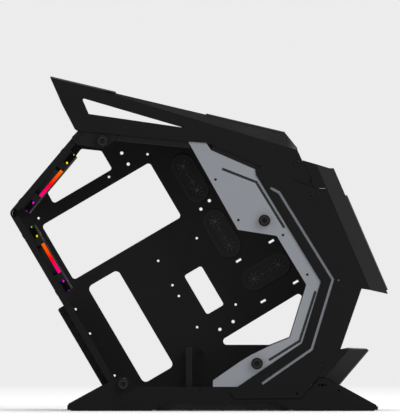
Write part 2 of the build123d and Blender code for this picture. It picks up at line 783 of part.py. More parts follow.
# Roof cover: a folded shell from the side plates' top edge up to the two ridges
roof_side_slope = (roof_knee_z - roof_front_z) / (roof_front_x - roof_knee_x)
roof_angle = math.degrees(math.atan(ridge_slope))
roof_sin, roof_cos = unit(roof_angle)
roof_end_rise = 3.5
roof_along = (roof_cos, 0, -roof_sin)
roof_up = (roof_sin, 0, roof_cos)
roof_plane = Plane(origin=(roof_knee_x, 0, ridge_knee_z), x_dir=roof_along, z_dir=roof_up)


# Distance along the sloping roof plane at x, and half the width between its ridges
def along_roof(x):
    return (x - roof_knee_x) / roof_cos


def ridge_half(x):
    share = (x - roof_knee_x) / (ridge_drop_x - roof_knee_x)
    return ridge_rear_half + share * (ridge_front_half - ridge_rear_half)


# The cover's cross-section at x, with its foot at foot_z and its ridges at ridge_z
def roof_section(x, foot_z, ridge_z, half):
    rise = ridge_z - foot_z
    foot_half = outer_face - roof_thickness * math.hypot(rise, outer_face - half) / rise
    with BuildSketch(Plane(origin=(x, 0, 0), x_dir=(0, 1, 0), z_dir=(1, 0, 0))) as section:
        with BuildLine():
            Polyline(
                (-outer_face, foot_z), (-half, ridge_z), (half, ridge_z), (outer_face, foot_z),
                (foot_half, foot_z), (half - 1, ridge_z - roof_thickness),
                (1 - half, ridge_z - roof_thickness), (-foot_half, foot_z), close=True,
            )
        make_face()
    return section.sketch.face()


io_x = 88.0
io_length_y = 120.0
io_width_u = 24.0
io_depth = 18.0
io_along = along_roof(io_x)
drop_foot_z = roof_knee_z - roof_side_slope * (ridge_drop_x - roof_knee_x)
knee_section = roof_section(roof_knee_x, roof_knee_z, ridge_knee_z, ridge_rear_half)
drop_section = roof_section(ridge_drop_x, drop_foot_z, ridge_drop_z, ridge_front_half)
end_ridge_z = roof_front_z + roof_end_rise
end_section = roof_section(roof_front_x, roof_front_z, end_ridge_z, ridge_front_half + roof_end_rise)
with BuildPart() as roof_cover:
    loft(sections=[knee_section, drop_section], ruled=True)
    loft(sections=[drop_section, end_section], ruled=True)
    with BuildSketch(roof_plane):
        with Locations((io_along, 0)):
            Rectangle(io_width_u + 2 * fit_gap, io_length_y + 2 * fit_gap)
    extrude(amount=2 * roof_thickness, both=True, mode=Mode.SUBTRACT)
save(roof_cover.part, "roof_cover")

wing_front_half = ridge_rear_half - roof_plate_margin
with BuildPart() as roof_rear_plate:
    with BuildSketch(roof_plane):
        with BuildLine():
            Polyline(
                (wing_rear, -outer_face), (0, -outer_face), (wing_front, -wing_front_half),
                (wing_front, wing_front_half), (0, outer_face), (wing_rear, outer_face), close=True,
            )
        make_face()
    extrude(amount=wing_thickness)
save(roof_rear_plate.part, "roof_rear_plate")

plate_rear_half = ridge_half(roof_plate_rear_x) - roof_plate_margin
plate_front_half = ridge_half(roof_plate_front_x) - roof_plate_margin
plate_rear_along = along_roof(roof_plate_rear_x)
plate_front_along = along_roof(roof_plate_front_x)
with BuildPart() as roof_front_plate:
    with BuildSketch(roof_plane):
        with BuildLine():
            Polyline(
                (plate_rear_along, -plate_rear_half), (plate_front_along, -plate_front_half),
                (plate_front_along, plate_front_half), (plate_rear_along, plate_rear_half), close=True,
            )
        make_face()
        with Locations((io_along, 0)):
            Rectangle(io_width_u + 2 * fit_gap, io_length_y + 2 * fit_gap, mode=Mode.SUBTRACT)
    extrude(amount=roof_plate_thickness)
save(roof_front_plate.part, "roof_front_plate")

# Panel for roof fans, bent once, with a flange along each side of its front half
fan_panel_points = [(-140.0, 452.5), (5.0, 442.5), (140.0, 386.0)]
fan_panel_flange = 22.0
roof_slot_pitch = (13.0, 62.0)
roof_slot_counts = (9, 3)
roof_slot_size = (54.0, 6.0)


def sloping_plane(start, end, y=0.0):
    length = math.dist(start, end)
    cos, sin = (end[0] - start[0]) / length, (end[1] - start[1]) / length
    middle_x, middle_z = (start[0] + end[0]) / 2, (start[1] + end[1]) / 2
    return Plane(origin=(middle_x, y, middle_z), x_dir=(cos, 0, sin), z_dir=(-sin, 0, cos)), length


with BuildPart() as roof_fan_panel:
    with BuildSketch(side_plane(outer_layer)):
        with BuildLine():
            Polyline(*fan_panel_points)
            offset(amount=sheet, side=Side.RIGHT)
        make_face()
    extrude(amount=2 * outer_layer)
    front_plane, front_length = sloping_plane(*fan_panel_points[1:])
    for side in (-1, 1):
        with BuildSketch(front_plane):
            with Locations((0, side * (outer_layer - sheet / 2))):
                Rectangle(front_length, sheet)
        extrude(amount=fan_panel_flange)
    with BuildSketch(side_plane(outer_layer)):
        with Locations(*top_screw_points[2:]):
            Circle(screw_hole_radius)
    extrude(amount=2 * outer_layer, mode=Mode.SUBTRACT)
    for start, end in zip(fan_panel_points, fan_panel_points[1:]):
        panel_plane, length = sloping_plane(start, end)
        with BuildSketch(panel_plane):
            with GridLocations(*roof_slot_pitch, *roof_slot_counts):
                SlotOverall(*roof_slot_size, rotation=90)
        extrude(amount=2 * sheet, both=True, mode=Mode.SUBTRACT)
save(roof_fan_panel.part, "roof_fan_panel")


# The plane across a faceted cover, its x pointing out of the case and its normal along the cover
def cover_plane(foot, tilt, forwards):
    sin, cos = unit(tilt)
    outwards = (cos, 0, forwards * sin)
    along = (forwards * sin, 0, -cos)
    return Plane(origin=(foot[0], 0, foot[1]), x_dir=outwards, z_dir=along)


# Half of the space under a cover's outer face or, with wall set, under its inner face
def cover_profile(wall):
    slant = math.hypot(flank_depth, outer_face - face_half_width)
    foot_half = outer_face - wall * slant / flank_depth
    face_half = foot_half - (flank_depth - wall) * (outer_face - face_half_width) / flank_depth
    Polyline(
        (0, -foot_half), (flank_depth - wall, -face_half), (flank_depth - wall, face_half), (0, foot_half),
        close=True,
    )


# A shell with two flanks and a face, cut to its side view, open towards the case, with two cheeks
def faceted_cover(foot, tilt, forwards, length, side_view, cavity_view, cheek):
    plane = cover_plane(foot, tilt, forwards)
    with BuildPart() as cavity:
        with BuildSketch(plane):
            with BuildLine():
                cover_profile(cover_wall)
            make_face()
        extrude(amount=length, both=True)
        with BuildSketch(side_plane(2 * outer_face)):
            with BuildLine():
                Polyline(*cavity_view, close=True)
            make_face()
        extrude(amount=4 * outer_face, mode=Mode.INTERSECT)
    with BuildPart() as cover:
        with BuildSketch(plane):
            with BuildLine():
                cover_profile(0)
            make_face()
        extrude(amount=length, both=True)
        with BuildSketch(side_plane(2 * outer_face)):
            with BuildLine():
                Polyline(*side_view, close=True)
            make_face()
        extrude(amount=4 * outer_face, mode=Mode.INTERSECT)
        add(cavity.part, mode=Mode.SUBTRACT)
        for y in (outer_face, -outer_layer):
            with BuildSketch(side_plane(y)):
                with BuildLine():
                    Polyline(*cheek, close=True)
                make_face()
            extrude(amount=plate_thickness)
    return cover.part


# A plate on a cover's face, between two distances along it
def face_plate(foot, tilt, forwards, start, end):
    plane = cover_plane(foot, tilt, forwards)
    with BuildPart() as plate:
        with BuildSketch(plane.offset(start)):
            with Locations((flank_depth, 0)):
                face_width = 2 * (face_half_width - face_plate_margin)
                Rectangle(face_plate_thickness, face_width, align=(Align.MIN, Align.CENTER))
        extrude(amount=end - start)
    return plate.part


front_view = [
    (170.0, 402.7), (189.0, 396.6), (209.7, 390.3), (222.0, 390.3), (340.0, 180.0), (276.0, 194.0),
    (250.0, 198.0),
]
front_cavity = [(150.0, 400.0), (209.0, 387.0), (240.0, 387.0), (340.0, 150.0), (250.0, 150.0)]
front_cheek = [
    (166.4, 403.0), foot_line(front_foot, front_tilt, 1, 0.5),
    foot_line(front_foot, front_tilt, 1, front_cheek_length),
    (184.0, 358.2), (180.2, 373.8), (168.4, 398.7),
]
front_cover = faceted_cover(front_foot, front_tilt, 1, 300.0, front_view, front_cavity, front_cheek)
save(front_cover, "front_cover")
save(face_plate(front_foot, front_tilt, 1, *front_plate_span), "front_plate")

fin_view = [
    (232.0, 98.5), (242.0, 100.0), (273.7, 98.8), (290.0, 98.8), (290.0, 20.0), (225.2, 42.2), (203.2, 54.3),
]
fin_cavity = [(225.0, 95.0), (290.0, 95.0), (290.0, 0.0), (190.0, 30.0), (190.0, 60.0)]
fin_cheek = [(228.6, 97.3), fin_foot, foot_line(fin_foot, fin_tilt, -1, fin_cheek_length), (192.4, 54.3)]
lower_front_cover = faceted_cover(fin_foot, fin_tilt, -1, 100.0, fin_view, fin_cavity, fin_cheek)
save(lower_front_cover, "lower_front_cover")
save(face_plate(fin_foot, fin_tilt, -1, *fin_plate_span), "lower_front_plate")

# Front mesh: a bent sheet with rows of slots between the front side plates
mesh_points = [(199.0, 354.0), (254.0, 212.0), (212.0, 104.0)]
mesh_row_space = 12.0
mesh_slot_pitch = (11.0, 42.0)
mesh_columns = 5
mesh_slot_size = (36.0, 5.0)
with BuildPart() as front_mesh:
    with BuildSketch(side_plane(outer_layer)):
        with BuildLine():
            Polyline(*mesh_points)
            offset(amount=sheet, side=Side.RIGHT)
        make_face()
    extrude(amount=2 * outer_layer)
    for start, end in zip(mesh_points, mesh_points[1:]):
        mesh_plane, length = sloping_plane(start, end)
        rows = int(length / mesh_row_space)
        with BuildSketch(mesh_plane):
            with GridLocations(*mesh_slot_pitch, rows, mesh_columns):
                SlotOverall(*mesh_slot_size, rotation=90)
        extrude(amount=2 * sheet, both=True, mode=Mode.SUBTRACT)
save(front_mesh.part, "front_mesh")

# Posts of the side glass, each with a flange, a groove, a cap and a stud through its plate
knob_flange_radius = 7.5
knob_neck_radius = 5.6
knob_cap_radius = 9.4
knob_stud_radius = 3.0
knob_chamfer = 0.8
knob_recess = 1.0
knob_layers = [(knob_flange_radius, 3.0), (knob_neck_radius, 4.0), (knob_cap_radius, 6.0)]
with BuildPart() as panel_knobs:
    reach = 0.0
    for radius, height in knob_layers:
        with BuildSketch(side_plane(-outer_layer - reach)):
            with Locations(*knob_points):
                Circle(radius)
        extrude(amount=height)
        reach += height
    chamfer(panel_knobs.faces().sort_by(Axis.Y)[:4].edges(), knob_chamfer)
    with BuildSketch(side_plane(-outer_layer - reach)):
        with Locations(*knob_points):
            Circle(knob_neck_radius)
            Circle(screw_head_radius, mode=Mode.SUBTRACT)
    extrude(amount=-knob_recess, mode=Mode.SUBTRACT)
    with BuildSketch(side_plane(-outer_layer)):
        with Locations(*knob_points):
            Circle(knob_stud_radius)
    extrude(amount=-plate_thickness - screw_reach)
save_pair(panel_knobs.part, "panel_knobs")

# Bars between the two sides, tapped at their ends, and their screws
bar_radius = 5.0
bar_tap_depth = 14.0
bar_screw_reach = 8.0
with BuildPart() as tie_bars:
    for points, half in ((bar_points, outer_layer), (foot_bar_points, frame_half_width)):
        with BuildSketch(side_plane(half)):
            with Locations(*points):
                Circle(bar_radius)
        extrude(amount=2 * half)
        for y, depth in ((half, bar_tap_depth), (-half, -bar_tap_depth)):
            with BuildSketch(side_plane(y)):
                with Locations(*points):
                    Circle(screw_radius + fit_gap / 2)
            extrude(amount=depth, mode=Mode.SUBTRACT)
save(tie_bars.part, "tie_bars")

with BuildPart() as tie_screws:
    bar_reach = plate_thickness + bar_screw_reach
    add(near_screws(bar_points, -outer_face, bar_reach, ring_head_radius, ring_head_height))
    add(near_screws(foot_bar_points, -outer_layer, plate_thickness + bar_screw_reach))
save_pair(tie_screws.part, "tie_screws")

# Screws of the plates; those of the outer layer pass through both layers
outer_screw_points = top_screw_points + seam_screw_points + front_screw_points + pan_screw_points[2:]
inner_screw_points = bracket_screw_points + [rear_foot_screw_point] + pan_screw_points[:2]
inner_reach = plate_thickness + screw_reach
with BuildPart() as plate_screws:
    add(near_screws(outer_screw_points, -outer_face, plate_thickness + inner_reach))
    add(near_screws(inner_screw_points, -outer_layer, inner_reach))
save_pair(plate_screws.part, "plate_screws")

# Sockets and buttons in the roof
button_travel = 1.2
button_sink = 0.2
button_height = 6.0
button_gap = 0.3
power_radius = 7.0
reset_radius = 2.5
power_y = -46.0
reset_y = -30.0
jack_places = [-16.0, -4.0]
jack_radius = 3.6
jack_bore = 1.8
jack_depth = 12.0
usb_places = [14.0, 32.0, 50.0]
usb_length = 13.2
usb_width = 5.8
usb_wall = 0.6
usb_depth = 11.0
housing_flange = 4.0
housing_flange_thickness = 1.5
housing_top = roof_plane.offset(roof_plate_thickness)
cover_underside = -roof_thickness * roof_cos
with BuildPart() as io_housing:
    with BuildSketch(housing_top):
        with Locations((io_along, 0)):
            Rectangle(io_width_u, io_length_y)
    extrude(amount=-io_depth)
    with BuildSketch(roof_plane.offset(cover_underside)):
        with Locations((io_along, 0)):
            Rectangle(io_width_u + 2 * housing_flange, io_length_y + 2 * housing_flange)
    extrude(amount=-housing_flange_thickness)
    for places, depth in (
        ([(power_y, power_radius + button_gap), (reset_y, reset_radius + button_gap)],
         button_height + button_sink + button_travel + button_gap),
        ([(y, jack_radius + fit_gap) for y in jack_places], jack_depth),
    ):
        with BuildSketch(housing_top):
            for y, radius in places:
                with Locations((io_along, y)):
                    Circle(radius)
        extrude(amount=-depth, mode=Mode.SUBTRACT)
    with BuildSketch(housing_top):
        with Locations(*[(io_along, y) for y in usb_places]):
            Rectangle(usb_width + 2 * fit_gap, usb_length + 2 * fit_gap)
    extrude(amount=-usb_depth, mode=Mode.SUBTRACT)
save(io_housing.part, "io_housing")

for name, y, radius in (("power_button", power_y, power_radius), ("reset_button", reset_y, reset_radius)):
    with BuildPart() as button:
        with BuildSketch(housing_top.offset(-button_sink)):
            with Locations((io_along, y)):
                Circle(radius)
        extrude(amount=-button_height)
        chamfer(button.edges().sort_by(Axis.Z)[-1], 0.5)
    save(button.part, name)

with BuildPart() as usb_ports:
    with BuildSketch(housing_top):
        with Locations(*[(io_along, y) for y in usb_places]):
            Rectangle(usb_width, usb_length)
    extrude(amount=-usb_depth)
    with BuildSketch(housing_top):
        with Locations(*[(io_along, y) for y in usb_places]):
            Rectangle(usb_width - 2 * usb_wall, usb_length - 2 * usb_wall)
            Rectangle(usb_width / 3, usb_length - 2, mode=Mode.SUBTRACT)
    extrude(amount=-usb_depth + 1.5, mode=Mode.SUBTRACT)
save(usb_ports.part, "usb_ports")

with BuildPart() as audio_jacks:
    with BuildSketch(housing_top):
        with Locations(*[(io_along, y) for y in jack_places]):
            Circle(jack_radius)
    extrude(amount=-jack_depth)
    with BuildSketch(housing_top):
        with Locations(*[(io_along, y) for y in jack_places]):
            Circle(jack_bore)
    extrude(amount=-jack_depth + 1.0, mode=Mode.SUBTRACT)
save(audio_jacks.part, "audio_jacks")
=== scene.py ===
import bmesh
import bpy
import json
import math
from mathutils import Matrix, Vector


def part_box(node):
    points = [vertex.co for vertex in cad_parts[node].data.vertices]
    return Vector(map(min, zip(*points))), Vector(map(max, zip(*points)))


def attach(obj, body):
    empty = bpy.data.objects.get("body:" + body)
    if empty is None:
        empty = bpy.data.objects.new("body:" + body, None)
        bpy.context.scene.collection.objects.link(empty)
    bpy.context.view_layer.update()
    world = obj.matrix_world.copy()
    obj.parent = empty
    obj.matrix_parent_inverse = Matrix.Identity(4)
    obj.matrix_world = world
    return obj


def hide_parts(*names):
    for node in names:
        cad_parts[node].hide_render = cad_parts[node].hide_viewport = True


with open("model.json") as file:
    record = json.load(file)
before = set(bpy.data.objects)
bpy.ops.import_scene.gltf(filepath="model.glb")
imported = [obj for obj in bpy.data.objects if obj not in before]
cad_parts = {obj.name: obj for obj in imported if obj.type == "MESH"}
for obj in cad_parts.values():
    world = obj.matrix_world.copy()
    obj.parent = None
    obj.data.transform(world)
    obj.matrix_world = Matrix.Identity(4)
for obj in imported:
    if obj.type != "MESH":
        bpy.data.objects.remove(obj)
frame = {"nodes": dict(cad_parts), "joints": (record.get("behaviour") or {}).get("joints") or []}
nodes = frame["nodes"]
joints = {joint["name"]: joint for joint in frame["joints"]}
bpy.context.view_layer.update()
mm = 0.001
weldDistance = 2e-6  # corners of CAD triangles closer than this are one
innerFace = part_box("insert_plate_far")[0].y  # of the silver plates, measured from the middle
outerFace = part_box("insert_plate_far")[1].y
sideNames = {"near": -1, "far": 1}
print("frame loaded with", len(nodes), "nodes")


# Plain helpers
def addNode(tree, kind, values=None, **settings):
    node = tree.nodes.new(kind)
    for key, value in settings.items():
        setattr(node, key, value)
    for key, value in (values or {}).items():
        node.inputs[key].default_value = value
    return node


def grey(level):
    return (level, level, level, 1.0)


def newMesh(name, shape, smoothAngle=30):
    mesh = bpy.data.meshes.new(name)
    shape.to_mesh(mesh)
    shape.free()
    mesh.polygons.foreach_set("use_smooth", [True] * len(mesh.polygons))
    mesh.set_sharp_from_angle(angle=math.radians(smoothAngle))
    return mesh


def newObject(name, mesh):
    thing = bpy.data.objects.new(name, mesh)
    bpy.context.scene.collection.objects.link(thing)
    return thing


def plainMesh(thing, name):  # what the modifiers make, as a mesh of its own
    bpy.context.view_layer.update()
    evaluated = thing.evaluated_get(bpy.context.evaluated_depsgraph_get())
    mesh = bpy.data.meshes.new_from_object(evaluated)
    mesh.name = name
    bpy.data.objects.remove(thing)
    return mesh


def finishPiece(piece, replaced=(), body="frame"):
    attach(piece, body)
    if replaced:
        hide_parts(*replaced)


# Steel, plastic and rubber: one tone with fine grain. These values hold where a finish names none.
commonLook = {
    "metallic": 0.0, "specular": 0.3, "coat": 0.0, "spread": 0.12,
    "cloudScale": 14, "cloudDetail": 4.0,
    "grainDetail": 2.0, "grainRoughness": 0.6, "grainTone": 0.35, "stretch": (1, 1, 1),
    "glossFrom": 0.3, "glossTo": 0.9, "glossSpread": 0.07,
    "bump": 0.15, "bumpDepth": 0.0003,
}


def paintedFinish(name, ownLook):
    look = {**commonLook, **ownLook}
    made = bpy.data.materials.new(name)
    made.use_nodes = True
    tree = made.node_tree
    shader = tree.nodes["Principled BSDF"]
    shader.inputs["Metallic"].default_value = look["metallic"]
    shader.inputs["Specular IOR Level"].default_value = look["specular"]
    shader.inputs["Coat Weight"].default_value = look["coat"]
    place = addNode(tree, "ShaderNodeTexCoord")
    stretch = addNode(tree, "ShaderNodeMapping", {"Scale": look["stretch"]})
    tree.links.new(place.outputs["Object"], stretch.inputs["Vector"])
    cloud = addNode(tree, "ShaderNodeTexNoise", {"Scale": look["cloudScale"],
                                                 "Detail": look["cloudDetail"]})
    grain = addNode(tree, "ShaderNodeTexNoise", {"Scale": look["grainScale"], "Detail": look["grainDetail"],
                                                 "Roughness": look["grainRoughness"]})
    tree.links.new(place.outputs["Object"], cloud.inputs["Vector"])
    tree.links.new(stretch.outputs["Vector"], grain.inputs["Vector"])
    both = addNode(tree, "ShaderNodeMath", {1: look["grainTone"]}, operation="MULTIPLY_ADD")
    tree.links.new(grain.outputs["Fac"], both.inputs[0])
    tree.links.new(cloud.outputs["Fac"], both.inputs[2])
    colour, spread = look["colour"], look["spread"]
    tone = addNode(tree, "ShaderNodeMix", data_type="RGBA")
    tone.inputs[6].default_value = [c * (1 - spread) for c in colour[:3]] + [1]
    tone.inputs[7].default_value = [c * (1 + spread) for c in colour[:3]] + [1]
    tree.links.new(both.outputs[0], tone.inputs[0])
    tree.links.new(tone.outputs[2], shader.inputs["Base Color"])
    gloss = addNode(tree, "ShaderNodeMapRange", {"From Min": look["glossFrom"], "From Max": look["glossTo"],
                                                 "To Min": look["roughness"] - look["glossSpread"],
                                                 "To Max": look["roughness"] + look["glossSpread"]})
    tree.links.new(both.outputs[0], gloss.inputs["Value"])
    tree.links.new(gloss.outputs["Result"], shader.inputs["Roughness"])
    bump = addNode(tree, "ShaderNodeBump", {"Strength": look["bump"], "Distance": look["bumpDepth"]})
    tree.links.new(grain.outputs["Fac"], bump.inputs["Height"])
    tree.links.new(bump.outputs["Normal"], shader.inputs["Normal"])
    return made


finishes = {
    "plateBlack": {"colour": grey(0.0052), "roughness": 0.55, "specular": 0.07,
                   "grainScale": 1700, "bump": 0.12},
    # painted highlight: lighter finish on the black plates' bevelled edges
    "plateEdge": {"colour": grey(0.016), "roughness": 0.42, "specular": 0.25,
                  "grainScale": 900, "bump": 0.05},
    "trayBlack": {"colour": grey(0.0072), "roughness": 0.58, "specular": 0.12,
                  "grainScale": 1500, "bump": 0.16},
    # painted highlight: lighter finish on the tray's bevelled edges
    "trayEdge": {"colour": grey(0.014), "roughness": 0.5, "specular": 0.2,
                 "grainScale": 900, "bump": 0.05},
    # lighter than plateBlack, so a cover's flanks read lit against its side faces, which are painted shade
    "coverBlack": {"colour": grey(0.0062), "roughness": 0.5, "specular": 0.12,
                   "grainScale": 1600, "bump": 0.12},
    "roofBlack": {"colour": grey(0.0026), "roughness": 0.6, "specular": 0.03,
                  "grainScale": 1600, "bump": 0.12},
    "wingGrey": {"colour": grey(0.02), "roughness": 0.42,
                 "grainScale": 1300, "bump": 0.1, "stretch": (0.15, 1, 1)},
    # painted highlight: lighter finish on the wing plates' bevels and cut sides
    "wingEdgeHighlight": {"colour": grey(0.045), "roughness": 0.42, "metallic": 0.3,
                 "grainScale": 900, "bump": 0.05},
    "railGrey": {"colour": grey(0.0054), "roughness": 0.5, "specular": 0.09,
                 "grainScale": 1200, "bump": 0.1},
    "silver": {"colour": (0.206, 0.216, 0.236, 1), "roughness": 0.48, "metallic": 0.5,
               "grainScale": 2100, "bump": 0.2, "spread": 0.05, "cloudScale": 6},
    # painted highlight: lighter, more metallic finish on the silver plates' bevelled edges
    "silverEdgeHighlight": {"colour": (0.34, 0.35, 0.37, 1), "roughness": 0.35, "metallic": 0.8,
                   "grainScale": 900, "bump": 0.05},
    "screwBlack": {"colour": grey(0.0035), "roughness": 0.42, "metallic": 0.2, "specular": 0.12,
                   "grainScale": 1900, "bump": 0.08},
    # painted highlight on the dished rims of the screw heads
    "screwRimHighlight": {"colour": grey(0.009), "roughness": 0.4, "metallic": 0.3, "specular": 0.2,
                 "grainScale": 1900, "bump": 0.05},
    # painted highlight on the flat ring near the top of each post
    "postRingHighlight": {"colour": grey(0.016), "roughness": 0.36, "metallic": 0.3,
                 "grainScale": 1900, "bump": 0.05},
    "rubber": {"colour": grey(0.0088), "roughness": 0.68, "specular": 0.22,
               "grainScale": 700, "bump": 0.25},
    # black rubber for the fan pads, and painted shade behind holes, gaps and channels
    "rubberAndShadeBlack": {"colour": grey(0.0012), "roughness": 0.8, "specular": 0.02,
                   "grainScale": 700, "bump": 0.1},
    # painted light: pale sheet seen through the grommets' slits
    "slitPaintedLight": {"colour": grey(0.3), "roughness": 0.7, "specular": 0.1,
                 "grainScale": 700, "bump": 0.1},
    "fanPlastic": {"colour": grey(0.0038), "roughness": 0.5, "specular": 0.1,
                   "grainScale": 1100, "bump": 0.12},
    "housingPlastic": {"colour": grey(0.006), "roughness": 0.42,
                       "grainScale": 1000, "bump": 0.1},
    "rimPale": {"colour": grey(0.016), "roughness": 0.5, "specular": 0.25,
                "grainScale": 900, "bump": 0.08},
    "bladeSmoke": {"colour": grey(0.05), "roughness": 0.3, "specular": 0.5, "coat": 0.2,
                   "grainScale": 800, "bump": 0.05},
    "ribGrey": {"colour": grey(0.05), "roughness": 0.5, "specular": 0.2,
                "grainScale": 900, "bump": 0.05},
    "portMetal": {"colour": grey(0.4), "roughness": 0.3, "metallic": 1.0,
                  "grainScale": 1200, "bump": 0.1, "stretch": (1, 0.1, 1)},
}
material = {name: paintedFinish(name, look) for name, look in finishes.items()}

# Fan lights: the colour runs with height, once over each fan
lightLook = {
    "lowest": 0.192, "highest": 0.412, "strength": 1.0,
    "stops": [(0.02, (0.35, 0.0, 0.80)), (0.09, (1.0, 0.0, 0.95)), (0.15, (1.0, 0.0, 0.216)),
              (0.245, (1.0, 0.0, 0.0)), (0.345, (1.0, 0.127, 0.0)), (0.42, (1.0, 0.9, 0.0)),
              (0.47, (0.5, 0.9, 0.0)), (0.58, (0.35, 0.0, 0.80)), (0.635, (1.0, 0.0, 0.95)),
              (0.695, (1.0, 0.0, 0.216)), (0.787, (1.0, 0.0, 0.0)), (0.875, (1.0, 0.127, 0.0)),
              (0.94, (1.0, 0.9, 0.0)), (0.99, (0.5, 0.9, 0.0))],
}


def lightFinish(name, look):
    made = bpy.data.materials.new(name)
    made.use_nodes = True
    tree = made.node_tree
    shader = tree.nodes["Principled BSDF"]
    shader.inputs["Base Color"].default_value = grey(0.0)
    shader.inputs["Specular IOR Level"].default_value = 0.0
    shader.inputs["Emission Strength"].default_value = look["strength"]
    place = addNode(tree, "ShaderNodeTexCoord")
    split = addNode(tree, "ShaderNodeSeparateXYZ")
    share = addNode(tree, "ShaderNodeMapRange", {"From Min": look["lowest"], "From Max": look["highest"]})
    ramp = addNode(tree, "ShaderNodeValToRGB")
    stops = look["stops"]
    bar = ramp.color_ramp.elements
    while len(bar) < len(stops):
        bar.new(0.5)
    for element, (spot, colour) in zip(bar, stops):
        element.position = spot
        element.color = (*colour, 1)
    tree.links.new(place.outputs["Object"], split.inputs[0])
    tree.links.new(split.outputs["Z"], share.inputs["Value"])
    tree.links.new(share.outputs["Result"], ramp.inputs["Fac"])
    tree.links.new(ramp.outputs["Color"], shader.inputs["Emission Color"])
    return made


material["fanLight"] = lightFinish("fanLight", lightLook)
print("materials made:", len(material))


# Sheet metal: copies of the CAD plates with fine broken edges, whose bevel faces take a lighter finish as a
# painted highlight
edgeLook = {"flatAngle": 0.5, "fromAngle": 38, "segments": 2, "highlightFrom": 0.5, "darkFrom": 0.95}


def mergedShape(nodeName):
    shape = bmesh.new()
    shape.from_mesh(nodes[nodeName].data)
    bmesh.ops.remove_doubles(shape, verts=shape.verts, dist=weldDistance)
    bmesh.ops.dissolve_limit(shape, angle_limit=math.radians(edgeLook["flatAngle"]),
                             verts=shape.verts, edges=shape.edges)
    return shape


def edgedCopy(pieceName, nodeName, look):
    piece = newObject(pieceName, newMesh(pieceName, mergedShape(nodeName)))
    piece.data.materials.clear()
    # the third finish, plateBlack, is the painted shade on a cover's sideways faces
    for finish in (look["finish"], look["edge"], "plateBlack"):
        piece.data.materials.append(material[finish])
    bevel = piece.modifiers.new("brokenEdge", "BEVEL")
    bevel.width = look["bevel"] * mm
    bevel.segments = edgeLook["segments"]
    bevel.limit_method = "ANGLE"
    bevel.angle_limit = math.radians(edgeLook["fromAngle"])
    # painted highlight: the bevel faces take the lighter edge finish
    bevel.material = 1
    bevel.use_clamp_overlap = True
    piece = newObject(pieceName, plainMesh(piece, pieceName))
    for face in piece.data.polygons:  # painted highlight on the cut sides of a wing plate, painted shade on the side faces of a cover
        sideways = abs(face.normal.y)
        if look.get("highlightedSides") and sideways > edgeLook["highlightFrom"]:
            face.material_index = 1
        elif look.get("shadedSides") and sideways > edgeLook["darkFrom"]:
            face.material_index = 2
    finishPiece(piece, (nodeName,))


plateKinds = {
    "black": {"finish": "plateBlack", "edge": "plateEdge", "slot": "black_steel"},
    "grey": {"finish": "railGrey", "edge": "plateEdge", "slot": "grey_steel"},
    "silver": {"finish": "silver", "edge": "silverEdgeHighlight", "slot": "silver_plate"},
    # painted highlight: a wing plate's sideways cut faces take the lighter edge finish
    "wing": {"finish": "wingGrey", "edge": "wingEdgeHighlight", "slot": "edge_plate", "highlightedSides": True},
    "roof": {"finish": "roofBlack", "edge": "plateEdge", "slot": "black_steel"},
    # painted shade: a cover's sideways faces take the darker plate finish
    "cover": {"finish": "coverBlack", "edge": "plateEdge", "slot": "black_steel", "shadedSides": True},
    "tray": {"finish": "trayBlack", "edge": "trayEdge", "slot": "black_steel"},
    "slotCover": {"finish": "railGrey", "edge": "plateEdge", "slot": "black_steel"},
}
pairedPlates = {  # one on each side: kind and broken edge
    "top_side": ("black", 0.5), "front_side": ("black", 0.5), "base_side": ("black", 0.5),
    "insert_plate": ("silver", 0.45), "corner_bracket": ("grey", 0.4), "upper_rail": ("grey", 0.4),
    "front_rail": ("grey", 0.4), "pan_strip": ("black", 0.2),
}
singlePlates = {
    "roof_rear_plate": ("wing", 0.7), "roof_front_plate": ("wing", 0.6), "front_plate": ("wing", 0.6),
    "lower_front_plate": ("wing", 0.6), "roof_cover": ("roof", 0.4), "front_cover": ("cover", 0.5),
    "lower_front_cover": ("cover", 0.5), "motherboard_tray": ("tray", 0.2), "psu_bracket": ("grey", 0.2),
    "rear_wall": ("black", 0.2), "slot_bracket": ("grey", 0.2), "slot_covers": ("slotCover", 0.15),
}


def pieceTitle(nodeName):
    first, *others = nodeName.split("_")
    return first + "".join(word.capitalize() for word in others)


plates = {f"{name}_{side}": plate for name, plate in pairedPlates.items() for side in sideNames}
plates.update(singlePlates)
for nodeName, (kind, bevel) in plates.items():
    edgedCopy(pieceTitle(nodeName) + "Sheet", nodeName, {**plateKinds[kind], "bevel": bevel})
print("sheet pieces made:", len(plates))


# Turned shapes: each row of a profile is a radius, a height and how many flat sides, 0 for round
def lathe(name, profile, segments=24, smoothAngle=30):
    shape = bmesh.new()
    rings = []
    for radius, height, sides in profile:
        if radius == 0:
            rings.append([shape.verts.new((0, 0, height))])
            continue
        ring = []
        for step in range(segments):
            angle = 2 * math.pi * step / segments
            reach = radius
            if sides:
                half = math.pi / sides
                reach = radius * math.cos(half) / math.cos(angle % (2 * half) - half)
            ring.append(shape.verts.new((reach * math.cos(angle), reach * math.sin(angle), height)))
        rings.append(ring)
    for inner, outer in zip(rings, rings[1:]):
        for step in range(segments):
            after = (step + 1) % segments
            if len(inner) == 1:
                shape.faces.new((inner[0], outer[step], outer[after]))
            elif len(outer) == 1:
                shape.faces.new((inner[step], outer[0], inner[after]))
            else:
                shape.faces.new((inner[step], outer[step], outer[after], inner[after]))
    bmesh.ops.recalc_face_normals(shape, faces=shape.faces)
    return newMesh(name, shape, smoothAngle)


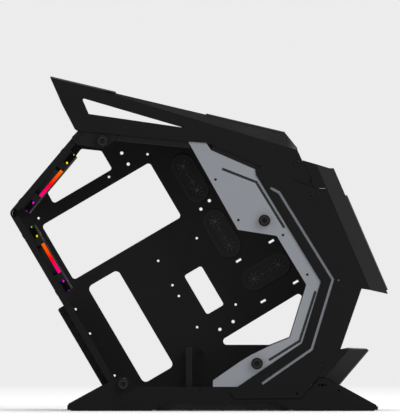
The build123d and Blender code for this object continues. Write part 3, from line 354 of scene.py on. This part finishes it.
# Loose parts of a CAD node: the middle of each one's box, and all its points
def looseParts(nodeName):
    shape = bmesh.new()
    shape.from_mesh(nodes[nodeName].data)
    bmesh.ops.remove_doubles(shape, verts=shape.verts, dist=weldDistance)
    unseen, found = set(shape.verts), []
    while unseen:
        group, queue = [], [unseen.pop()]
        while queue:
            vert = queue.pop()
            group.append(vert.co.copy())
            for edge in vert.link_edges:
                other = edge.other_vert(vert)
                if other in unseen:
                    unseen.remove(other)
                    queue.append(other)
        low = Vector([min(point[k] for point in group) for k in range(3)])
        high = Vector([max(point[k] for point in group) for k in range(3)])
        found.append(((low + high) / 2, group))
    shape.free()
    return found


# Instances of up to two shapes on points that carry their own sizes and direction
def scatterTree(name, shapes, finish):
    tree = bpy.data.node_groups.new(name, "GeometryNodeTree")
    tree.interface.new_socket("Geometry", in_out="INPUT", socket_type="NodeSocketGeometry")
    tree.interface.new_socket("Geometry", in_out="OUTPUT", socket_type="NodeSocketGeometry")
    entry, leave = addNode(tree, "NodeGroupInput"), addNode(tree, "NodeGroupOutput")
    facing = addNode(tree, "GeometryNodeInputNamedAttribute", {"Name": "facing"}, data_type="FLOAT_VECTOR")
    turn = addNode(tree, "FunctionNodeAlignRotationToVector", axis="Z")
    tree.links.new(facing.outputs["Attribute"], turn.inputs["Vector"])
    merged = addNode(tree, "GeometryNodeJoinGeometry")
    for title, shape in shapes.items():
        tree.interface.new_socket(f"{title} size", in_out="INPUT", socket_type="NodeSocketFloat")
        size = addNode(tree, "GeometryNodeInputNamedAttribute", {"Name": title}, data_type="FLOAT_VECTOR")
        scaled = addNode(tree, "ShaderNodeVectorMath", operation="SCALE")
        source = addNode(tree, "GeometryNodeObjectInfo", {"Object": shape})
        placed = addNode(tree, "GeometryNodeInstanceOnPoints")
        tree.links.new(size.outputs["Attribute"], scaled.inputs[0])
        tree.links.new(entry.outputs[f"{title} size"], scaled.inputs["Scale"])
        tree.links.new(entry.outputs["Geometry"], placed.inputs["Points"])
        tree.links.new(source.outputs["Geometry"], placed.inputs["Instance"])
        tree.links.new(turn.outputs["Rotation"], placed.inputs["Rotation"])
        tree.links.new(scaled.outputs["Vector"], placed.inputs["Scale"])
        tree.links.new(placed.outputs["Instances"], merged.inputs[0])
    real = addNode(tree, "GeometryNodeRealizeInstances")
    tree.links.new(merged.outputs[0], real.inputs[0])
    last = real
    if finish:
        last = addNode(tree, "GeometryNodeSetMaterial", {"Material": finish})
        tree.links.new(real.outputs[0], last.inputs["Geometry"])
    tree.links.new(last.outputs[0], leave.inputs["Geometry"])
    return tree


def scatter(pieceName, places, shapes, finish=None):  # a place is a point, a facing and {title: size}
    cloud = bpy.data.meshes.new(pieceName + "Places")
    cloud.from_pydata([place[0] for place in places], [], [])
    facing = cloud.attributes.new("facing", "FLOAT_VECTOR", "POINT")
    facing.data.foreach_set("vector", [c for place in places for c in place[1]])
    holders = {}
    for title, mesh in shapes.items():
        size = cloud.attributes.new(title, "FLOAT_VECTOR", "POINT")
        size.data.foreach_set("vector", [c for place in places for c in place[2][title]])
        holders[title] = newObject(f"{pieceName}{title}", mesh)
    carrier = newObject(pieceName + "Carrier", cloud)
    modifier = carrier.modifiers.new("scatter", "NODES")
    modifier.node_group = scatterTree(pieceName + "Tree", holders, finish)
    for item in modifier.node_group.interface.items_tree:
        if item.in_out == "INPUT" and item.socket_type == "NodeSocketFloat":
            modifier[item.identifier] = 1.0
    mesh = plainMesh(carrier, pieceName)
    for holder in holders.values():
        bpy.data.objects.remove(holder)
    return newObject(pieceName, mesh)


# Socket screws, of unit size until they are placed
screwLook = {
    "head": [(0, 0.30, 6), (0.44, 0.30, 6), (0.48, 0.86, 6), (0.56, 0.90, 0), (0.74, 0.96, 0),
             (0.86, 1.0, 0), (0.95, 0.93, 0), (1.0, 0.72, 0), (1.0, 0.0, 0), (0, 0.0, 0)],
    "shank": [(0, 0, 0), (1, 0, 0), (1, -0.9, 0), (0.8, -1, 0), (0, -1, 0)],
    "shankRadius": 1.5, "shankSegments": 16,
    "rimFrom": 0.80, "rimTo": 0.99, "rimAbove": 0.75,
    "headHeights": {2.3: 1.2, 3.0: 1.2, 4.6: 2.4},  # by head radius, as in the CAD
}
screwPieces = {
    "sideScrews": ("plate_screws_near", "plate_screws_far"),
    "barScrews": ("tie_screws_near", "tie_screws_far"),
    "slotScrews": ("slot_screws",),
    "trayScrew": ("tray_screw",),
}


# Painted highlight: the dished rim of the head takes a lighter finish than the rest
def rimHighlightedHead(name):
    mesh = lathe(name, screwLook["head"])
    mesh.materials.append(material["screwBlack"])
    mesh.materials.append(material["screwRimHighlight"])
    for face in mesh.polygons:
        reach, height = math.hypot(*face.center[:2]), face.center[2]
        if screwLook["rimFrom"] < reach < screwLook["rimTo"] and height > screwLook["rimAbove"]:
            face.material_index = 1
    return mesh


def headHeight(radius):
    heights = screwLook["headHeights"]
    return heights[min(heights, key=lambda known: abs(known * mm - radius))] * mm


def socketScrews(pieceName, screwNodes):
    places = []
    for nodeName in screwNodes:
        outward = Vector((0, 1 if nodeName.endswith("far") else -1, 0))
        for middle, group in looseParts(nodeName):
            spans = [point.dot(outward) for point in group]
            top, bottom = max(spans), min(spans)
            middle += outward * (top - middle.dot(outward))
            arms = [point - middle for point in group]
            radius = max((arm - outward * arm.dot(outward)).length for arm in arms)
            height = headHeight(radius)
            shankSize = screwLook["shankRadius"] * mm
            places.append((middle - outward * height, outward, {
                "head": (radius, radius, height), "shank": (shankSize, shankSize, top - bottom - height)}))
    shank = lathe(pieceName + "Shank", screwLook["shank"], screwLook["shankSegments"])
    shank.materials.append(material["screwBlack"])
    piece = scatter(pieceName, places, {"head": rimHighlightedHead(pieceName + "Head"), "shank": shank})
    finishPiece(piece, screwNodes)


for pieceName, screwNodes in screwPieces.items():
    socketScrews(pieceName, screwNodes)
print("screws made")

# Turned posts that stand out from the silver plates, with a painted highlight on a ring near the top
postLook = {
    "profile": [(0, 1.9, 0), (1.25, 1.9, 6), (1.3, 11.6, 6), (2.6, 12.0, 0), (2.7, 12.3, 0),
                (5.0, 12.3, 0), (5.3, 13.0, 0), (6.5, 13.0, 0), (6.7, 12.8, 0), (8.3, 12.8, 0),
                (9.3, 12.1, 0), (9.4, 10.6, 0), (9.0, 10.2, 0), (9.0, 9.6, 0), (9.4, 9.2, 0),
                (9.4, 7.9, 0), (8.6, 7.1, 0), (5.6, 7.0, 0), (5.6, 3.0, 0), (7.2, 3.0, 0),
                (7.5, 2.7, 0), (7.5, 0, 0), (3.0, 0, 0), (3.0, -6.6, 0), (2.6, -7.0, 0), (0, -7.0, 0)],
    "segments": 48, "smoothAngle": 24,
    "ringFrom": 5.0, "ringTo": 6.8, "ringHighlightAbove": 12.5,
}


def turnedPosts():
    profile = [(radius * mm, height * mm, sides) for radius, height, sides in postLook["profile"]]
    mesh = lathe("post", profile, postLook["segments"], postLook["smoothAngle"])
    mesh.materials.append(material["screwBlack"])
    mesh.materials.append(material["postRingHighlight"])
    # painted highlight: the flat ring near the top takes the lighter ring finish
    for face in mesh.polygons:
        reach, height = math.hypot(*face.center[:2]) / mm, face.center[2] / mm
        if postLook["ringFrom"] < reach < postLook["ringTo"] and height > postLook["ringHighlightAbove"]:
            face.material_index = 1
    places = []
    for side, sign in sideNames.items():
        for middle, _ in looseParts(f"panel_knobs_{side}"):
            spot = Vector((middle.x, sign * outerFace, middle.z))
            places.append((spot, Vector((0, sign, 0)), {"post": (1, 1, 1)}))
    piece = scatter("glassPosts", places, {"post": mesh})
    finishPiece(piece, ("panel_knobs_near", "panel_knobs_far"))


turnedPosts()
print("posts made")

# Fans, each in its own frame: X along the wall, Y across the case, Z into the case
fanLook = {
    "jointInwards": 10.8,  # from the back of the fan to its joint
    "lower": {"joint": "fan_lower_spin", "body": "lower_rotor", "node": "fan_lower_rotor"},
    "upper": {"joint": "fan_upper_spin", "body": "upper_rotor", "node": "fan_upper_rotor"},
}
fanTitles = ("lower", "upper")


def fanMatrix(title):
    joint = joints[fanLook[title]["joint"]]
    axis = Vector(joint["axis"])
    away = math.copysign(1, axis.z)  # the wall runs down below the corner and up above it
    run = Vector((axis.z, 0, -axis.x)) * away
    origin = Vector(joint["pos_m"]) - axis * fanLook["jointInwards"] * mm
    turn = Matrix((run, axis.cross(run), axis)).transposed().to_4x4()
    return Matrix.Translation(origin) @ turn


rotorLook = {
    "blades": 9, "reach": 55.0, "base": 3.6, "height": 15.2, "thick": 1.3, "rows": 9, "columns": 8,
    "rootInside": 1.0, "rootChord": 40, "chordLoss": 8, "sweep": 34, "sweepPower": 1.4,
    "risesFrom": 0.08, "rise": 0.84, "bulge": 0.10, "tipDroop": 0.06,
    "hub": 19.8, "hubSegments": 48,
    "hubTop": [(1.55, -0.2), (6.0, -0.2), (6.6, 0), (17.0, 0), (18.8, -0.5), (19.8, -1.8)],
    "hubFoot": [(19.8, 0.2), (19.4, 0), (1.55, 0)],
}


def bladeMesh(look):
    shape = bmesh.new()
    rows, columns = look["rows"], look["columns"]
    root = look["hub"] - look["rootInside"]
    grid = []
    for row in range(rows):
        along = row / (rows - 1)
        radius = root + (look["reach"] - root) * along
        chord = math.radians(look["rootChord"] - look["chordLoss"] * along)
        lead = math.radians(look["sweep"]) * along ** look["sweepPower"]
        line = []
        for column in range(columns):
            across = column / (columns - 1)
            angle = lead + chord * (across - 0.5)
            rise = look["risesFrom"] + look["rise"] * across + look["bulge"] * math.sin(math.pi * across)
            share = min(rise - look["tipDroop"] * along, 1.0)
            height = look["base"] + look["height"] * share
            point = Vector((radius * math.cos(angle), radius * math.sin(angle), height))
            line.append(shape.verts.new(point * mm))
        grid.append(line)
    for inner, outer in zip(grid, grid[1:]):
        for k in range(columns - 1):
            shape.faces.new((inner[k], outer[k], outer[k + 1], inner[k + 1]))
    bmesh.ops.recalc_face_normals(shape, faces=shape.faces)
    blade = newObject("bladeSheet", newMesh("bladeSheet", shape))
    solid = blade.modifiers.new("thickness", "SOLIDIFY")
    solid.thickness = look["thick"] * mm
    solid.offset = 0
    return plainMesh(blade, "blade")


def ringRow(pieceName, mesh, count, finish):  # copies of a shape turned round the Z axis
    tree = bpy.data.node_groups.new(pieceName + "Tree", "GeometryNodeTree")
    tree.interface.new_socket("Geometry", in_out="INPUT", socket_type="NodeSocketGeometry")
    number = tree.interface.new_socket("Blade count", in_out="INPUT", socket_type="NodeSocketInt")
    tree.interface.new_socket("Geometry", in_out="OUTPUT", socket_type="NodeSocketGeometry")
    entry, leave = addNode(tree, "NodeGroupInput"), addNode(tree, "NodeGroupOutput")
    line = addNode(tree, "GeometryNodeMeshLine", {"Offset": (0, 0, 0)})
    placed = addNode(tree, "GeometryNodeInstanceOnPoints")
    index = addNode(tree, "GeometryNodeInputIndex")
    step = addNode(tree, "ShaderNodeMath", {0: 2 * math.pi}, operation="DIVIDE")
    angle = addNode(tree, "ShaderNodeMath", operation="MULTIPLY")
    turn = addNode(tree, "ShaderNodeCombineXYZ")
    real = addNode(tree, "GeometryNodeRealizeInstances")
    coat = addNode(tree, "GeometryNodeSetMaterial", {"Material": finish})
    for start, end in (
        (entry.outputs["Blade count"], line.inputs["Count"]),
        (entry.outputs["Blade count"], step.inputs[1]),
        (line.outputs[0], placed.inputs["Points"]),
        (entry.outputs["Geometry"], placed.inputs["Instance"]),
        (index.outputs[0], angle.inputs[0]),
        (step.outputs[0], angle.inputs[1]),
        (angle.outputs[0], turn.inputs["Z"]),
        (turn.outputs[0], placed.inputs["Rotation"]),
        (placed.outputs[0], real.inputs[0]),
        (real.outputs[0], coat.inputs["Geometry"]),
        (coat.outputs[0], leave.inputs[0]),
    ):
        tree.links.new(start, end)
    carrier = newObject(pieceName + "Carrier", mesh)
    modifier = carrier.modifiers.new("ring", "NODES")
    modifier.node_group = tree
    modifier[number.identifier] = count
    return plainMesh(carrier, pieceName)


def joinMeshes(name, meshes):  # keeps each mesh's own materials
    shape = bmesh.new()
    owned = []
    for mesh in meshes:
        start = len(shape.faces)
        shape.from_mesh(mesh)
        shape.faces.ensure_lookup_table()
        for face in shape.faces[start:]:
            own = mesh.materials[face.material_index]
            if own not in owned:
                owned.append(own)
            face.material_index = owned.index(own)
    joined = newMesh(name, shape)
    for own in owned:
        joined.materials.append(own)
    return joined


def withFinish(mesh, finish):
    mesh.materials.clear()
    mesh.materials.append(material[finish])
    return mesh


def fanRotor(title):
    look, fan, pieceName = rotorLook, fanLook[title], title + "Rotor"
    blades = ringRow(pieceName + "Blades", bladeMesh(look), look["blades"], material["bladeSmoke"])
    top = look["base"] + look["height"]
    profile = [(radius * mm, (top + height) * mm, 0) for radius, height in look["hubTop"]]
    profile += [(radius * mm, (look["base"] + height) * mm, 0) for radius, height in look["hubFoot"]]
    hub = lathe(pieceName + "Hub", profile + profile[:1], look["hubSegments"])
    mesh = joinMeshes(pieceName, [blades, withFinish(hub, "fanPlastic")])
    mesh.transform(fanMatrix(title))
    finishPiece(newObject(pieceName, mesh), (fan["node"],), fan["body"])


for title in fanTitles:
    fanRotor(title)
print("fan rotors made")


def flatBox(name, length, width, height, turned=0.0):  # sizes in mm, turned round its Z axis
    shape = bmesh.new()
    bmesh.ops.create_cube(shape, size=1.0)
    scale = Matrix.Diagonal((length * mm, width * mm, height * mm, 1))
    shape.transform(Matrix.Rotation(turned, 4, "Z") @ scale)
    return newMesh(name, shape)


# Lit dots on the near and far sides of the fan frames
dotLook = {
    "along": (-59, -42, 42, 59), "radius": (0.8, 1.5, 1.5, 0.8), "stretch": 1.3,
    "inwards": 18.6, "halfWidth": 60.5, "segments": 16,
    "profile": [(0, 0.4, 0), (0.7, 0.32, 0), (1, 0, 0), (1, -0.2, 0), (0, -0.2, 0)],
}


def lightDots():
    places = []
    for title in fanTitles:
        for along, radius in zip(dotLook["along"], dotLook["radius"]):
            spot = fanMatrix(title) @ Vector((along * mm, 0, dotLook["inwards"] * mm))
            for sign in sideNames.values():
                sideSpot = spot + Vector((0, sign * dotLook["halfWidth"] * mm, 0))
                size = (radius * mm, radius * dotLook["stretch"] * mm, mm)
                places.append((sideSpot, Vector((0, sign, 0)), {"dot": size}))
    dot = lathe("dot", dotLook["profile"], dotLook["segments"])
    finishPiece(scatter("fanLightDots", places, {"dot": dot}, material["fanLight"]))


# Dark pads on the fan frames' corners, under the dots
padLook = {"along": 49.5, "across": 60.25, "inwards": 17.6, "size": (19, 0.5, 9.4)}


def fanPads():
    meshes = []
    for title in fanTitles:
        for end in (-1, 1):
            for sign in sideNames.values():
                pad = flatBox("pad", *padLook["size"])
                place = Vector((end * padLook["along"], sign * padLook["across"], padLook["inwards"]))
                pad.transform(fanMatrix(title) @ Matrix.Translation(place * mm))
                meshes.append(withFinish(pad, "rubberAndShadeBlack"))
    finishPiece(newObject("fanPads", joinMeshes("fanPads", meshes)))


lightDots()
fanPads()
print("light dots and pads made")

# Ribbed strips in the channels of the silver plates, each row with a dark strip of painted shade behind it
channelLook = {
    "upperRun": [(37.1, 389.2), (91.9, 367.8), (136.9, 294.3)],  # x and z along the middle of each channel
    "lowerRun": [(187.3, 192.7), (161.7, 112.5), (112.3, 81.5)],
    "pitch": 3.8, "rib": (4.4, 1.7, 1.0), "lean": 62, "raised": 0.7,
    "backWidth": 5.6, "backThick": 0.25,
}


def ribRow(pieceName, start, end, sign):  # a straight row of leaning ribs
    run = end - start
    count = int(run.length / channelLook["pitch"])
    y = sign * (innerFace + channelLook["raised"] * mm)
    places = []
    for step in range(count):
        spot = (start + run * ((step + 0.5) / count)) * mm
        places.append((Vector((spot.x, y, spot.y)), Vector((0, sign, 0)), {"rib": (1, 1, 1)}))
    slope = math.atan2(run.y, run.x)
    rib = flatBox("rib", *channelLook["rib"], -sign * (slope + math.radians(channelLook["lean"])))
    return scatter(pieceName, places, {"rib": rib}, material["ribGrey"])


def channelShadeStrip(start, end, sign):  # painted shade: a dark strip behind a row
    run = end - start
    width, thick = channelLook["backWidth"], channelLook["backThick"]
    back = flatBox("back", run.length + width / 2, thick, width)
    back.transform(Matrix.Rotation(-math.atan2(run.y, run.x), 4, "Y"))
    middle = (start + end) / 2 * mm
    back.transform(Matrix.Translation((middle.x, sign * (innerFace - thick * mm / 2), middle.y)))
    return withFinish(back, "rubberAndShadeBlack")


def channelRibs():
    meshes = []
    for side, sign in sideNames.items():
        for line in ("upperRun", "lowerRun"):
            corners = [Vector(corner) for corner in channelLook[line]]
            for start, end in zip(corners, corners[1:]):
                ribs = ribRow(side + line + "Ribs", start, end, sign)
                meshes += [ribs.data, channelShadeStrip(start, end, sign)]
                bpy.data.objects.remove(ribs)
    finishPiece(newObject("channelRibs", joinMeshes("channelRibs", meshes)))


channelRibs()
print("channel ribs made")

# Painted shade: dark discs behind the small holes and the gaps between plates
holeShadeLook = {
    "profile": [(0, 0, 0), (1, 0, 0), (1, -0.3, 0), (0, -0.3, 0)], "segments": 20,
    "places": [  # x, z, depth inside the silver plates' outer face, radius
        (192.9, 41.5, 3.1, 2.4), (198.2, 41.4, 3.1, 3.2), (203.5, 41.5, 3.1, 2.4), (157.5, 27.8, 3.1, 2.6),
        (1.3, 33.7, 4.5, 2.6), (224.9, 32.9, 3.1, 2.6), (193.4, 56.4, 0.1, 3.4), (224.2, 210.2, 0.1, 2.6),
        (-128.9, 442.2, 3.1, 2.6), (-17.0, 431.2, 3.1, 2.6),
    ],
}


def holeCaps():
    places = []
    for x, z, depth, radius in holeShadeLook["places"]:
        for sign in sideNames.values():
            spot = Vector((x * mm, sign * (outerFace - depth * mm), z * mm))
            places.append((spot, Vector((0, sign, 0)), {"cap": (radius * mm, radius * mm, mm)}))
    cap = lathe("cap", holeShadeLook["profile"], holeShadeLook["segments"])
    finishPiece(scatter("holeCaps", places, {"cap": cap}, material["rubberAndShadeBlack"]))


holeCaps()
print("hole caps made")

# Painted light: thin pale sheets behind the grommets, seen through their slits
slitLightLook = {
    "size": (70, 0.3, 24), "inside": 1.5,  # behind the grommet's back face
    "turned": {"grommet_upper": 0, "grommet_middle": 0, "grommet_lower": 90},
}


def slitLightSheets():
    trayAxis = joints[fanLook["lower"]["joint"]]["axis"]  # the tray's pattern leans as the lower fan does
    tilt = math.atan2(trayAxis[2], trayAxis[0])
    meshes = []
    for nodeName, turned in slitLightLook["turned"].items():
        low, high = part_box(nodeName)
        middle = (low + high) / 2
        middle.y = high.y - slitLightLook["inside"] * mm
        lightSheet = flatBox("lightSheet", *slitLightLook["size"])
        lightSheet.transform(Matrix.Rotation(math.radians(90 + turned) - tilt, 4, "Y"))
        lightSheet.transform(Matrix.Translation(middle))
        meshes.append(withFinish(lightSheet, "slitPaintedLight"))
    finishPiece(newObject("grommetMembranes", joinMeshes("grommetMembranes", meshes)))


slitLightSheets()
print("membranes made")

# Plain finishes on the CAD nodes that stay as they are
plainFinishes = {
    "fanPlastic": ("fan_lower_frame", "fan_upper_frame"),
    "rimPale": ("fan_lower_rim", "fan_upper_rim"),
    "fanLight": ("fan_lower_light", "fan_upper_light"),
    "rubber": ("grommet_upper", "grommet_middle", "grommet_lower", "foot_pads"),
    "screwBlack": ("tie_bars", "power_button", "reset_button", "fan_screws"),
    "housingPlastic": ("io_housing", "audio_jacks", "dust_filter"),
    "portMetal": ("usb_ports",),
    "plateBlack": ("floor_pan",),
    "trayBlack": ("front_mesh", "roof_fan_panel"),
}
for finish, nodeNames in plainFinishes.items():
    for nodeName in nodeNames:
        withFinish(nodes[nodeName].data, finish)

# Floor, light and camera
studio = {
    "floor": 0.80, "floorReach": 60, "floorGrain": 40, "floorSpread": 0.015,
    "backdrop": 0.84, "fadeFrom": 1.2, "fadeTo": 4.0, "ambient": 0.55,
    "lampTarget": (0, 0, 0.27),
    "lamps": [  # name, place, width, watts
        ("keyLamp", (2.4, -3.4, 2.6), 2.4, 95), ("fillLamp", (-3.0, -3.6, 1.6), 2.6, 40),
        ("topLamp", (0.2, 0.2, 3.2), 2.2, 55), ("backLamp", (0.0, 3.6, 2.2), 2.4, 45),
    ],
}


def makeFloor():
    reach = studio["floorReach"]
    corners = [(-reach, -reach, 0), (reach, -reach, 0), (reach, reach, 0), (-reach, reach, 0)]
    mesh = bpy.data.meshes.new("floor")
    mesh.from_pydata(corners, [], [(0, 1, 2, 3)])
    floor = newObject("floor", mesh)
    paint = bpy.data.materials.new("floorPaint")
    paint.use_nodes = True
    tree = paint.node_tree
    tree.nodes.clear()
    place = addNode(tree, "ShaderNodeTexCoord")
    away = addNode(tree, "ShaderNodeVectorMath", operation="LENGTH")
    fade = addNode(tree, "ShaderNodeMapRange", {"From Min": studio["fadeFrom"],
                                                "From Max": studio["fadeTo"]})
    grain = addNode(tree, "ShaderNodeTexNoise", {"Scale": studio["floorGrain"], "Detail": 4})
    tone = addNode(tree, "ShaderNodeMix", data_type="RGBA")
    tone.inputs[6].default_value = grey(studio["floor"] * (1 - studio["floorSpread"]))
    tone.inputs[7].default_value = grey(studio["floor"] * (1 + studio["floorSpread"]))
    matt = addNode(tree, "ShaderNodeBsdfDiffuse")
    far = addNode(tree, "ShaderNodeEmission", {"Color": grey(studio["backdrop"]), "Strength": 1.0})
    mixed = addNode(tree, "ShaderNodeMixShader")
    leave = addNode(tree, "ShaderNodeOutputMaterial")
    for start, end in (
        (place.outputs["Object"], away.inputs[0]),
        (place.outputs["Object"], grain.inputs["Vector"]),
        (grain.outputs["Fac"], tone.inputs[0]),
        (tone.outputs[2], matt.inputs["Color"]),
        (away.outputs["Value"], fade.inputs["Value"]),
        (fade.outputs["Result"], mixed.inputs["Fac"]),
        (matt.outputs[0], mixed.inputs[1]),
        (far.outputs[0], mixed.inputs[2]),
        (mixed.outputs[0], leave.inputs[0]),
    ):
        tree.links.new(start, end)
    mesh.materials.append(paint)


def makeWorld():
    world = bpy.data.worlds.new("studio")
    bpy.context.scene.world = world
    world.use_nodes = True
    tree = world.node_tree
    tree.nodes.clear()
    ray = addNode(tree, "ShaderNodeLightPath")
    direct = addNode(tree, "ShaderNodeMath", operation="MAXIMUM")
    shown = addNode(tree, "ShaderNodeMath", operation="MAXIMUM")
    room = addNode(tree, "ShaderNodeBackground", {"Color": grey(studio["ambient"]), "Strength": 1.0})
    backdrop = addNode(tree, "ShaderNodeBackground", {"Color": grey(studio["backdrop"]), "Strength": 1.0})
    mixed = addNode(tree, "ShaderNodeMixShader")
    leave = addNode(tree, "ShaderNodeOutputWorld")
    for start, end in (
        (ray.outputs["Is Camera Ray"], direct.inputs[0]),
        (ray.outputs["Is Glossy Ray"], direct.inputs[1]),
        (direct.outputs[0], shown.inputs[0]),
        (ray.outputs["Is Transmission Ray"], shown.inputs[1]),
        (shown.outputs[0], mixed.inputs["Fac"]),
        (room.outputs[0], mixed.inputs[1]),
        (backdrop.outputs[0], mixed.inputs[2]),
        (mixed.outputs[0], leave.inputs["Surface"]),
    ):
        tree.links.new(start, end)


def makeLamps():
    target = Vector(studio["lampTarget"])
    for name, spot, width, power in studio["lamps"]:
        data = bpy.data.lights.new(name, "AREA")
        data.shape = "SQUARE"
        data.size = width
        data.energy = power
        lamp = bpy.data.objects.new(name, data)
        lamp.location = spot
        lamp.rotation_euler = (target - Vector(spot)).to_track_quat("-Z", "Y").to_euler()
        bpy.context.scene.collection.objects.link(lamp)


cameraLook = {
    "distance": 26.5, "x": 0.0016, "z": 0.323, "sensor": 36, "clipFrom": 1.0, "clipTo": 80.0,
    "frameHeight": 0.6749,  # what the picture spans at the near plates
}


def makeCamera():
    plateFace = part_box("top_side_near")[0].y
    data = bpy.data.cameras.new("camera")
    data.sensor_width = cameraLook["sensor"]
    data.lens = cameraLook["sensor"] * (cameraLook["distance"] + plateFace) / cameraLook["frameHeight"]
    data.clip_start = cameraLook["clipFrom"]
    data.clip_end = cameraLook["clipTo"]
    camera = bpy.data.objects.new("camera", data)
    camera.location = (cameraLook["x"], -cameraLook["distance"], cameraLook["z"])
    camera.rotation_euler = (math.radians(90), 0, 0)
    bpy.context.scene.collection.objects.link(camera)
    bpy.context.scene.camera = camera


makeFloor()
makeWorld()
makeLamps()
makeCamera()
bpy.context.scene.view_settings.view_transform = "Standard"
print("studio made")
